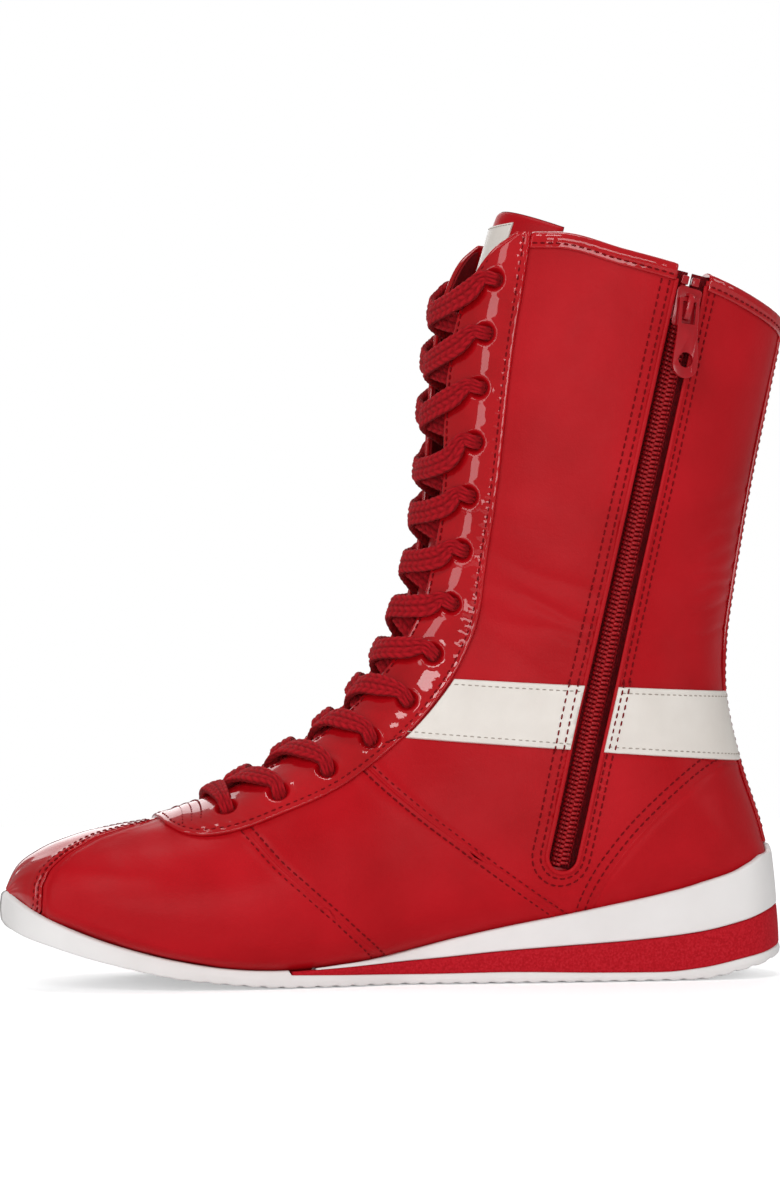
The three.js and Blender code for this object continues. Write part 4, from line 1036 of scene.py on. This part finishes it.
def sole_layer(name, start, low, high, low_out, high_out, look, tread=False):
    """A layer of the sole from x = start to the heel, between two heights over the length.

    high may be None, for the rim. The top follows the last, so that the upper sits in it.
    """
    rim_z = on_skin(RIM_S, RIM_U)[:, 2]
    rows = np.arange(len(RIM_S))[on_skin(RIM_S, RIM_U)[:, 0] > start]
    # how far the rounded edge stands in from the wall, and how far up it
    rounds = np.array([(2.4, 0), (1.1, 0.03), (0.45, 0.12), (0.12, 0.3), (0, 0.6)])
    middle = np.array([(-0.12 * math.sin(math.pi * q), q) for q in np.linspace(0.1, 0.9, 9)])
    rings = []
    for k in rows:
        walls, insides = [], []
        for side in (MEDIAL, LATERAL):
            u = side * RIM_U[k]
            rim = on_skin(RIM_S[k], u)
            away = normal_at(RIM_S[k], u) * np.array([1, 1, 0])
            away = away / np.linalg.norm(away)
            spread_x = float(flare(rim[0]))
            top = rim_z[k] if high is None else min(float(high(rim[0])), rim_z[k])
            top += 1.8 * math.exp(-(rim[0] + 133.6) / 7)  # the toe's bumper
            bottom = min(float(low(rim[0])), top - 0.05)
            tall = top - bottom
            lip = min(1 + 1.5 * math.exp(-(rim[0] + 133.6) / 5), tall / 3.5)
            notch = 0.0
            if tread:
                worn = min(max((rim[0] + 105) / 50, 0), 1)  # the lugs start behind the toe
                notch = 0.5 * worn * max(0, math.sin(2 * math.pi * rim[0] / LUG)) ** 0.7 * min(1, tall / 3)
            wall = []
            for inset, rise in rounds:
                cut = notch if inset > 0.2 else notch * 0.6
                wall.append((inset * lip, bottom + rise * lip * 1.6 + cut))
            for bulge, q in middle:
                wall.append((bulge * lip, lerp(bottom + 1.2 * lip, top - 1.2 * lip, q)))
            for inset, rise in rounds[::-1]:
                wall.append((min(inset * 0.8 * lip, 1.6), top - rise * lip * 1.6))
            made = []
            for inset, z in wall:
                out = lerp(low_out, high_out, np.clip((z - bottom) / max(tall, 0.1), 0, 1))
                spot = rim + away * (WALL - inset + out * spread_x)
                made.append([spot[0], spot[1], z])
            walls.append(made)
            around = lerp(abs(u), 1.0, np.linspace(0, 1, 12)[:-1])
            inner = skin(np.full(11, RIM_S[k]), side * around, np.full(11, 0.25))
            inner[:, 2] = np.minimum(inner[:, 2], top - 0.02 * lip)
            insides.append(inner.tolist())
        start_of, end_of = np.array(walls[1][0]), np.array(walls[0][0])
        across = np.linspace(0, 1, 46)[1:-1, None]
        base = lerp(start_of, end_of, across)
        base[:, 2] = [min(float(low(x)), start_of[2]) for x in base[:, 0]]
        if tread:
            zigzag = np.abs((base[:, 1] / 9) % 2 - 1) * 7
            groove = np.clip(np.sin(2 * math.pi * (base[:, 0] + zigzag) / 7) * 2.2 - 0.6, 0, 1)
            inside_edge = np.clip((np.abs(across[:, 0] - 0.5) - 0.42) / -0.02, 0, 1)
            base[:, 2] += 1.1 * groove * inside_edge * min(1, tall / 3)
        rings.append(walls[0] + insides[0] + insides[1][::-1] + walls[1][::-1] + base.tolist())
    return loft(name + "_moulded", np.array(rings), look, [name])


def outsole_top(x):
    """The outsole reaches the rim in front of the wedge, and the tread's top behind it."""
    return 99 if x < -44 else float(tread_top(x)) + 0.25


sole_layer("outsole", -200, ground_line, outsole_top, 1, 0.85, "white_rubber", tread=True)
sole_layer("midsole_wedge", -43.9, tread_top, wedge_top, 0.85, 0.55, "red_foam")
sole_layer("midsole", -36, wedge_top, None, 0.6, 0, "white_rubber")

# ---------------------------------------------------------------- the patent trim and the bands

TRIM_INSIDE = -0.3


def trim(name, s, u, sides, look, top, roll=0.7, groove=0.16, extra=0.0, holes=None):
    points = on_skin(s, u)
    distance = edge_distance(points, sides)
    depth = top + rolled(distance, roll) - groove * np.exp(-(((distance - STITCH_IN) / 0.5) ** 2)) + extra
    inside = np.full_like(depth, TRIM_INSIDE)
    if holes is not None:
        depth = depth - holes
        inside = np.minimum(inside, depth - 0.4)
    return add_sheet(name, "_cover", look, s, u, inside, depth)


EYELET_PAIRS = 13
eyelet_s = np.linspace(6.03, 20.43, 400)
eyelet_run = lengths_along(on_skin(eyelet_s, eyelet_line(eyelet_s)), 0)
eyelet_at = np.interp(np.linspace(0, 1, EYELET_PAIRS), eyelet_run / eyelet_run[-1], eyelet_s)
EYELETS = np.stack([eyelet_at, eyelet_line(eyelet_at)], -1)


def add_eyestay():
    foot, head = 4.8, 21.05
    front = np.stack([np.full(20, foot), np.linspace(0, 0.02, 20)], -1)
    s = foot + (head - foot) * np.linspace(0, 1, 1200) ** 3
    edge = np.concatenate([front, np.stack([s, stay_edge(s)], -1)])
    edge_s, edge_u, _, _ = resample(0.9, edge[:, 0], edge[:, 1])
    side = np.concatenate([-np.ones(len(edge_s) - 1), [0], np.ones(len(edge_s) - 1)])
    outer = np.concatenate([edge_s[:0:-1], edge_s])
    far = np.concatenate([edge_u[:0:-1], edge_u])
    inner = outer + 1.15 * np.exp((foot - outer) / 0.6)
    near = np.where(side == 0, 0, facing_edge(inner))
    far = np.where(side == 0, 0, far)
    over = spread(20, 0.75)
    s = lerp(inner[:, None], outer[:, None], over)
    u = side[:, None] * lerp(near[:, None], far[:, None], over)
    points = on_skin(s, u)
    holes = np.zeros(s.shape)
    for mirror in (MEDIAL, LATERAL):
        for eyelet in EYELETS:
            centre = on_skin(eyelet[0], mirror * eyelet[1])
            r = np.linalg.norm(points - centre, axis=-1)
            holes += 2.4 / (1 + np.exp((r - 2.9) / 0.28)) - 0.3 * np.exp(-(((r - 4.3) / 0.9) ** 2))
    from_edge = lengths_along(points, 1)[:, -1:] - lengths_along(points, 1)
    run = lengths_along(points, 0)
    pucker = 0.13 * np.sin(2 * math.pi * run / 4.6 + np.sin(run / 9)) * np.exp(-(((from_edge - 3) / 2) ** 2))
    swell = 0.35 * np.sin(math.pi * np.clip(from_edge / 18, 0, 1)) * (1 + 0.5 * np.sin(run / 6.5))
    trim("eyestay", s, u, "lr", "patent_leather", 1.5, extra=pucker + swell, holes=holes)
    outer_row = edge_s[4:-3], edge_u[4:-3]
    for mirror in (MEDIAL, LATERAL):
        stitch(*shifted(outer_row[0], mirror * outer_row[1], mirror * 2.0), 1.45, 2.6, 1.9, wave=0)
        inner_s = np.linspace(6.4, 20.7, 300)
        stitch(*shifted(inner_s, mirror * facing_edge(inner_s), -mirror * 1.7), 1.5, 2.6, 1.9, wave=0)
    for back in (6.5, 9.5, 12.5):
        turn = np.linspace(-1, 1, 30)
        stitch(foot + back / 17 + 0.1 * (1 - turn**2), 0.15 * turn, 1.75, 2, 1.5, wave=0)
    seam = np.linspace(0, 1, 20)
    for mirror in (MEDIAL, LATERAL):
        stitch(lerp(9.05, 9.75, seam), mirror * lerp(0.225, 0.253, seam), 1.6, 2.4, 1.8, wave=0)


BACKSTAY_HALF = 0.07


def side_line(a, b, count=60):
    """Places along a line that is straight in the side view."""
    start, end = on_skin(*a), on_skin(*b)
    share = np.sin(np.linspace(0, math.pi / 2, count))
    s, u = from_side(lerp(start[0], end[0], share), lerp(start[2], end[2], share))
    s[0], u[0] = a
    s[-1], u[-1] = b
    return s, u


def add_bands():
    """The plain level band round the ankle, in two pieces on the side of the zip."""
    low = (9.87, float(stay_edge(9.87)) + 0.004), (15.05, 1 - BACKSTAY_HALF - 0.006)
    high = (11.55, float(stay_edge(11.55)) + 0.004), (16.1, 1 - BACKSTAY_HALF - 0.006)
    low_s, low_u = side_line(*low)
    high_s, high_u = side_line(*high)
    index = np.arange(60)

    def columns(mirror, start, end, name):
        """start and end are shares of the band's length, on its low and its high edge."""
        over = spread(120 * (end[0] - start[0]), 1.2)
        low_at, high_at = (59 * (start[k] + (end[k] - start[k]) * over) for k in (0, 1))
        up = spread(21, 0.9)[:, None]
        s = lerp(np.interp(low_at, index, low_s), np.interp(high_at, index, high_s), up)
        u = mirror * lerp(np.interp(low_at, index, low_u), np.interp(high_at, index, high_u), up)
        band = trim(name, s, u, "lrbt", "white_leather", 1.35, 0.55, 0.14, extra=0.5 * skin_waves(s, u))
        for row, away in ((0, 1), (-1, -1)):
            line = shifted(s[row, 3:-3], u[row, 3:-3], mirror * away * 2.0)
            clear = np.abs((on_skin(*line) - ZIP_FOOT) @ ZIP_ACROSS) > (SLOT_HALF + 1 if mirror < 0 else 0)
            stitch(line[0][clear], line[1][clear], 1.28, 2.3, 1.5, 0.2, "grey_thread", 0.5)
        return band

    columns(LATERAL, (0, 0), (1, 1), "ankle_band_lateral")
    share = np.linspace(0, 1, 60)
    across = [(on_skin(s, -u) - ZIP_FOOT) @ ZIP_ACROSS for s, u in ((low_s, low_u), (high_s, high_u))]
    past, before = ([np.interp(x, row, share) for row in across] for x in (-1, 1))
    cut_slot(columns(MEDIAL, (0, 0), before, "ankle_band_front"), SLOT_HALF + 0.15, SLOT_FOOT, -9, 9)
    cut_slot(columns(MEDIAL, past, (1, 1), "ankle_band_rear"), SLOT_HALF + 0.15, SLOT_FOOT, -9, 9)


def add_backstay():
    s, u = places(
        constant(1 - BACKSTAY_HALF, 13.86, 20.4), constant(1 + BACKSTAY_HALF, 13.86, 20.4),
        None, None, spread(165, 1.2), spread(18, 0.9),
    )
    trim("backstay", s, u, "lrb", "patent_leather", 1.3, 0.6, 0.16, extra=0.4 * skin_waves(s, u))
    row = np.linspace(14.1, 20.2, 200)
    for across in (1 - BACKSTAY_HALF, 1 + BACKSTAY_HALF):
        stitch(*shifted(row, np.full(200, across), math.copysign(1.6, across - 1)), 1.25, 2.6, 1.9, wave=0.4)


def add_binding():
    """The patent binding folded over the collar, parted at the zip."""
    start = 0.268
    u = np.linspace(-start, start - 2, 420)
    s = collar_line(np.where(np.abs(u) > 1, 2 - np.abs(u), np.abs(u)))
    across = (on_skin(s, u) - ZIP_FOOT) @ ZIP_ACROSS
    near = u > -1
    front = near & (across < -SLOT_HALF - 0.3)
    rear = ~near | (across > SLOT_HALF + 0.1)
    turn = np.linspace(0, math.pi, 9)
    over_top = np.stack([1.6 * np.sin(turn) - 1.2, -2 + 3.25 * np.cos(turn)], -1)
    outside = [(-5.4, 0.1), (-5.6, 0.5), (-5.45, 0.85), (-4.9, 1.0), (-4.1, 0.88), (-3.2, 1.1), (-2.2, 1.22)]
    inside = [
        (-2.2, -5.2), (-3.2, -5.1), (-4.1, -4.9), (-4.9, -5.0),
        (-5.45, -4.8), (-5.5, -4.4), (-4, -4.2),
    ]
    within = [(-1.2, -4.1), (-1.2, -0.1), (-4, -0.05)]
    profile = np.array([*outside, *over_top.tolist(), *inside, *within])
    for name, chosen in (("collar_binding_front", front), ("collar_binding_rear", rear)):
        ring_s, ring_u, _, _ = resample(0.9, s[chosen], u[chosen])
        wave = 0.07 * np.sin(np.arange(len(ring_s)) * 1.3) * np.sin(np.arange(len(ring_s)) * 0.21)
        scale = np.linalg.norm(along_boot(ring_s, ring_u), axis=-1)
        rings = np.stack([
            skin(ring_s + up / scale, ring_u, d + wave * (d > 0.3)) for up, d in profile
        ], 1)
        loft(name + "_cover", rings, "patent_leather", [name])
        stitch(ring_s[2:-2] - 3.9 / scale[2:-2], ring_u[2:-2], 0.95, 2.6, 1.9, wave=0)


add_eyestay()
add_bands()
add_backstay()
add_binding()

# ---------------------------------------------------------------- the tongue and what lies inside

tongue_face = smooth([(6, -5.8), (14, -5.8), (18, -8), (20, -10.5), (21.7, -13)])


def add_tongue():
    """A padded tongue: crowned between its bound edges, with a sewn label and rows of stitches along its
    sides near the top.
    """
    half = 0.31
    over = spread(62, 1.3, (0.3, 0.8, 1.5, 2.4))
    up = spread(228, 1.3, (0.3, 0.8, 1.5, 2.4))
    s, u = places(
        constant(-half, 6.5, 21.2), constant(half, 6.5, 21.2), None,
        lambda t: np.stack([21.2 + 0.36 * np.sin(math.pi * t), lerp(-half, half, t)], -1), up, over,
    )
    base = tongue_face(s)
    points = skin(s, u, base)
    distance = edge_distance(points, "lrbt")
    crown = 0.9 * (1 - np.exp(-distance / 6))
    bound = -0.45 * np.exp(-(((distance - 5) / 0.7) ** 2))
    face = base - 0.5 + crown + bound + rolled(distance, 1.5) + 0.4 * skin_waves(s, u)
    back = base - 2.9 - crown * 0.8 - bound - rolled(distance, 1.5)
    tongue = add_sheet("tongue", "_pad", "red_cloth", s, u, back, face)
    tongue.data.materials.append(LOOKS["smooth_leather"])
    count = (s.shape[0] - 1) * (s.shape[1] - 1)
    leather_side = np.zeros(len(tongue.data.polygons), int)
    leather_side[:count] = 1
    tongue.data.polygons.foreach_set("material_index", leather_side)
    label = (constant(across, 20.5, 21.32) for across in (-0.15, 0.15))
    s, u = places(*label, None, None, spread(19, 1), spread(25, 1))
    distance = edge_distance(skin(s, u, tongue_face(s)), "lrbt")
    face = tongue_face(s) + 0.9 + rolled(distance, 0.4)
    back = face - 0.7 - 0.4 * (distance < 1)
    add_sheet("tongue_label", "_cover", "white_leather", s, u, back, face)
    for row in (3, -4):
        stitch(s[row, 3:-3], u[row, 3:-3], float(face[row].mean()) - 0.02, 2, 1.4, 0.18, "grey_thread", 0)
    line = np.linspace(18.5, 21.1, 60)
    for across in (-half + 0.03, half - 0.03):
        row = line, np.full(60, across)
        _, _, spots, _ = resample(2.4, *row)
        stitch(*row, float(tongue_face(20.2)) + 0.3, 2.4, 1.7, wave=0)


def add_inner_pieces():
    """The footbed and the linings of the forefoot and the facings."""
    footbed = (constant(across, 2.4, 11.9) for across in (0.88, 1.12))
    s, u = places(*footbed, None, None, spread(215, 1.5), spread(58, 1.5))
    distance = edge_distance(on_skin(s, u), "lrbt")
    quilt = 0.25 * np.abs(np.sin(s * 5 + u * 40) * np.sin(s * 5 - u * 40))
    add_sheet("footbed", "_pad", "red_cloth", s, u, -4.4, -6.3 - quilt - rolled(distance, 1.2))
    s, u = places(constant(-0.88, 1.9, 5.65), constant(0.88, 1.9, 5.65), None, None, 40, 60)
    add_sheet("lining_forefoot", "_cloth", "red_cloth", s, u, *LINING)
    for name, side in (("medial", MEDIAL), ("lateral", LATERAL)):
        line = over_s(facing_edge, 5.6, 20.93, 0.003)
        outer = over_s(under_stay, 5.6, 20.96, -0.012)
        s, u = places(line, outer, None, None, spread(225, 1.3), spread(13, 1))
        distance = edge_distance(on_skin(s, u), "l")
        edge = rolled(distance, 0.5)
        add_sheet("facing_lining_" + name, "_cloth", "red_cloth", s, side * u, LEATHER_INSIDE, edge)


add_tongue()
add_inner_pieces()

# ---------------------------------------------------------------- the lace

LACE = {"width": 8.0, "thick": 2.2, "pinched_width": 4.6, "pinched_thick": 3.2}


def moved(place, up, away):
    """A place moved by millimetres up the boot and away from the ridge."""
    s, u = place
    return s + up / np.linalg.norm(along_boot(s, u)), u + away / np.linalg.norm(round_boot(s, u))


def lace_knots():
    """The lace's places from one tail to the other: (s, u), depth, width, thickness and lean."""

    def flat(s, u, d, lean=0.0, share=1.0):
        return (s, u, d, LACE["width"] * share, LACE["thick"], lean)

    def pinched(s, u, d):
        return (s, u, d, LACE["pinched_width"], LACE["pinched_thick"], 0.0)

    def half(side):
        knots = []
        for k in range(EYELET_PAIRS):
            here = EYELETS[k]
            for up, away, d in ((0, -3.2, 3.4), (0, -0.4, 1.9), (0, -0.2, -1.2)):
                s, u = moved(here, up, away)
                knots.append(pinched(s, side * u, d))
            if k == EYELET_PAIRS - 1:
                break
            s, u = moved(here, 0.2, -2.6)
            knots.append(pinched(s, side * u, -3.4))
            after = EYELETS[k + 1]
            crossing, onto, middle = (lerp(here[0], after[0], share) for share in (0.26, 0.5, 0.74))
            edge = float(facing_edge(onto))
            knots.append(flat(here[0] + 0.06, side * (float(facing_edge(here[0])) + 0.02), -3.2, 0, 0.85))
            knots.append(flat(crossing, 0, 2.1 if side > 0 else -0.5))
            knots.append(flat(onto, -side * edge * 0.88, 3.6))
            knots.append(flat(middle, -side * lerp(edge, after[1], 0.42), 4.0, 0, 1.02))
            side = -side
        for up, away, d, lean in (
            (0, 1, -4, 0.1), (-0.5, 4.5, -5.6, 0.25), (-4, 8, -6, 0.6),
            (-11, 9.5, -6, 1), (-22, 10, -6, 1), (-36, 10, -6, 1),
        ):
            s, u = moved(EYELETS[-1], up, away)
            knots.append(flat(s, side * u, d, lean))
        return knots

    return np.array([*half(MEDIAL)[::-1], flat(EYELETS[0][0], 0, 3.9), *half(LATERAL)])


def softened(values, reach):
    """Values along a line, each averaged with its neighbours."""
    kernel = np.hanning(2 * reach + 3)[1:-1]
    kernel /= kernel.sum()
    padded = np.pad(values, ((reach, reach), (0, 0)), mode="edge")
    return np.stack([np.convolve(padded[:, k], kernel, mode="valid") for k in range(values.shape[1])], 1)


def add_lace():
    """A flat herringbone braid along the lace's places."""
    knots = lace_knots()
    index = np.arange(len(knots))
    spots = skin(knots[:, 0], knots[:, 1], knots[:, 2])
    fine = np.linspace(0, len(knots) - 1, 9000)
    path = through(spots, fine)
    run = np.concatenate([[0], np.cumsum(np.linalg.norm(np.diff(path, axis=0), axis=1))])
    along = np.arange(0, run[-1], 0.62)
    at = np.interp(along, run, fine)
    path = through(spots, at)
    s, u, width, thick, lean = (np.interp(at, index, knots[:, k]) for k in (0, 1, 3, 4, 5))
    forward = unit(np.gradient(path, axis=0))
    broad = unit(along_boot(s, u)) * (1 - lean[:, None])
    broad += unit(round_boot(s, u)) * (lean * np.sign(np.where(u == 0, 1, u)))[:, None]
    broad = unit(broad - forward * np.einsum("ij,ij->i", broad, forward)[:, None])
    broad = softened(broad, 5)
    broad = unit(broad - forward * np.einsum("ij,ij->i", broad, forward)[:, None])
    thin = np.cross(forward, broad)
    size = softened(np.stack([width, thick], 1), 6) / 2
    turn = np.linspace(0, 2 * math.pi, 40, endpoint=False)
    c, n = np.cos(turn), np.sin(turn)
    a = np.sign(c) * np.abs(c) ** 0.8
    b = np.sign(n) * np.abs(n) ** 0.72
    column = (a + 1) / 2 * 4
    inside = (column % 1) * 2 - 1
    leaning = np.where(np.floor(np.clip(column, 0, 3.999)) % 2 == 0, 1, -1)
    phase = along[:, None] / 3.1 + (leaning * inside * 0.42 + np.sign(n) * 0.25)[None, :]
    # How high each strand stands: it shapes the relief, and the lace's material uses it to paint shade into
    # the low places.
    strand_height_and_groove_shade = np.sqrt(np.clip(1 - 0.85 * inside**2, 0, 1)) * (0.45 + 0.55 * np.abs(np.cos(math.pi * phase)))
    relief = 0.75 * (strand_height_and_groove_shade - 0.5)
    rings = path[:, None] + broad[:, None] * (a * (size[:, :1]))[..., None]
    rings = rings + thin[:, None] * (b * (size[:, 1:] + relief * np.abs(n) ** 0.3))[..., None]
    rings = rings + broad[:, None] * (np.sign(a) * np.abs(c) ** 6 * relief)[..., None]
    lace = loft("lace_braided", rings, "lace_braid", ["lace"])
    lace.data.attributes.new("strand_height_and_groove_shade", "FLOAT", "POINT").data.foreach_set("value", strand_height_and_groove_shade.ravel())
    return run[-1]


lace_length = add_lace()
for tip in ("aglet_medial", "aglet_lateral"):
    give_look(tip, "clear_plastic")
print("lace length", round(lace_length), "mm")

# ---------------------------------------------------------------- the zip

TAPE = {"inner": 0.7, "outer": 7.2, "z": (-4.0, -3.4), "below": 9, "above": 4}
TEETH = {"pitch": 1.55, "inner": -0.35, "outer": 3.3, "level": -1.7, "radius": 0.52}
TEETH_FOOT, TEETH_HEAD = 0.6, ZIP_LENGTH - 1.2
ZIP_STEPS = 180
ZIP_STITCH_STATIONS = ((-0.5, 0.2, -1.4), (-0.3, 1, -0.1), (0.3, 1, -0.1), (0.5, 0.2, -1.4))


def zip_block(name, x, y, z, look, replaces, bend=0.0):
    """A thin woven block of the zip's frame, with rounded long edges and a slight wave."""
    half, middle = (x[1] - x[0]) / 2, (x[0] + x[1]) / 2
    profile = round_profile(half, z[1] - z[0], 28, 0.35)
    at = np.linspace(y[0], y[1], ZIP_STEPS)[:, None]
    rise = bend * np.sin(at / 6.5)
    rings = zip_place(middle + profile[:, 0], at, (z[0] + z[1]) / 2 + profile[:, 1] + rise)
    loft(name, rings, look, replaces)


def add_teeth(name, side):
    """One side of the coil: a row of nylon loops, each turned down at its head and its heel."""
    offset = 0 if side < 0 else TEETH["pitch"] / 2
    levels = np.arange(TEETH_FOOT + offset, TEETH_HEAD, TEETH["pitch"])
    radius = TEETH["radius"]
    reach = np.linspace(0, 1, 9)
    across = lerp(TEETH["inner"], TEETH["outer"], reach)
    rise = 0.75 * np.sin(math.pi * np.clip(reach * 1.05, 0, 1)) ** 0.45 - 0.45
    swell = np.array([0.75, 1.25, 1.15, 1, 1, 1, 1, 1, 0.7])
    turn = np.linspace(0, 2 * math.pi, 8, endpoint=False)
    x = side * across[:, None]
    y = radius * swell[:, None] * np.cos(turn) * 1.1 + 0.35 * reach[:, None]
    z = TEETH["level"] + rise[:, None] + radius * swell[:, None] * np.sin(turn)
    loops = [zip_place(x, level + y, z) for level in levels]
    make(name + "_teeth", *joined(loops), "nylon", replaces=[name])


def zip_threads(side):
    """The two rows of thread that hold the coil to its tape."""
    for x in (1.75, 2.85):
        y = np.arange(TEETH_FOOT + 0.6, TEETH_HEAD - 0.5, TEETH["pitch"])
        points = zip_place(side * x, y, TEETH["level"] + 0.82)
        for spot in points:
            yield short_thread(spot, ZIP_UP, ZIP_ACROSS, ZIP_OUT, 1.5, 0.2, ZIP_STITCH_STATIONS)


def add_cast(node, ending, body="boot", width=0.3):
    """A copy of a CAD node with its edges rounded, in its place."""
    name = node + ending
    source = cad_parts[node]
    mesh = source.data.copy()
    mesh.name = name
    piece = bpy.data.objects.new(name, mesh)
    bpy.context.scene.collection.objects.link(piece)
    mesh.materials.clear()
    mesh.materials.append(LOOKS["painted_metal"])
    weld = piece.modifiers.new("weld", "WELD")
    weld.merge_threshold = 0.00002
    bevel = piece.modifiers.new("bevel", "BEVEL")
    bevel.width = width * MM
    bevel.segments = 3
    bevel.limit_method = "ANGLE"
    bevel.angle_limit = math.radians(35)
    bevel.harden_normals = False
    with bpy.context.temp_override(object=piece, active_object=piece, selected_objects=[piece]):
        bpy.ops.object.modifier_apply(modifier="weld")
        bpy.ops.object.modifier_apply(modifier="bevel")
        bpy.ops.object.shade_smooth_by_angle(angle=math.radians(40))
    for modifier in list(piece.modifiers):
        piece.modifiers.remove(modifier)
    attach(piece, body)
    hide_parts(node)


BAND_LOW, BAND_HIGH = 78.4, 100.6  # the band's edges beside the zip


def add_slot_edge():
    """The turned edge of the leather round the zip's slot, and its double rows of stitches."""
    x, y = slot_outline(SLOT_HALF, SLOT_FOOT, 24)
    kept = y < ZIP_LENGTH + 1.5
    s, u = on_zip_side(x[kept], y[kept])
    _, _, centres, normals = resample(0.8, s, u, 0.02)
    rings = swept(centres, normals, round_profile(0.8, 1.0, 12, 0.9))
    loft("zip_slot_edge", rings, "smooth_leather", slot="smooth_leather")
    for front, rear in ((2.3, 1.6), (5.2, 3.7)):
        half = SLOT_HALF + (front + rear) / 2
        x, y = slot_outline(half, SLOT_FOOT - (front + rear) / 2, 24)
        kept = y < ZIP_LENGTH - 1
        s, u = on_zip_side(x[kept] + (rear - front) / 2, y[kept])
        row_s, row_u, centres, _ = resample(1.0, s, u, 0.0)
        level = centres[:, 2]
        on_band = (level > BAND_LOW) & (level < BAND_HIGH)
        for chosen, depth in ((~on_band, 0.05), (on_band, 1.32)):
            turns = np.where(np.diff(chosen.astype(int)) != 0)[0] + 1
            for run in np.split(np.arange(len(row_s)), turns):
                if chosen[run[0]] and len(run) > 3:
                    stitch(row_s[run], row_u[run], depth)


def add_zip():
    threads = []
    for name, side in (("front", MEDIAL), ("rear", LATERAL)):
        x = sorted((side * TAPE["inner"], side * TAPE["outer"]))
        y = (-TAPE["below"], ZIP_LENGTH + TAPE["above"])
        zip_block("zip_tape_" + name + "_woven", x, y, TAPE["z"], "zip_tape", ["zip_tape_" + name])
        add_teeth("zip_coil_" + name, side)
        threads += zip_threads(side)
        add_cast("zip_top_stop_" + name, "_pressed")
    add_cast("zip_bottom_stop", "_cast")
    add_cast("zip_slider", "_cast", "zip_slider", 0.32)
    add_cast("zip_pull", "_cast", "zip_pull")
    guard = (-10, 10), (-4, ZIP_LENGTH - 8), (-8.2, -7.4)
    zip_block("zip_guard_flap", *guard, "red_cloth", ["zip_guard"], bend=0.15)
    make("zip_threads", *joined(threads), "red_thread", slot="zip_tape")
    add_slot_edge()


add_zip()
for hidden in ("insole_board", "toe_puff", "heel_counter"):
    give_look(hidden, "fibre_board")
add_threads()
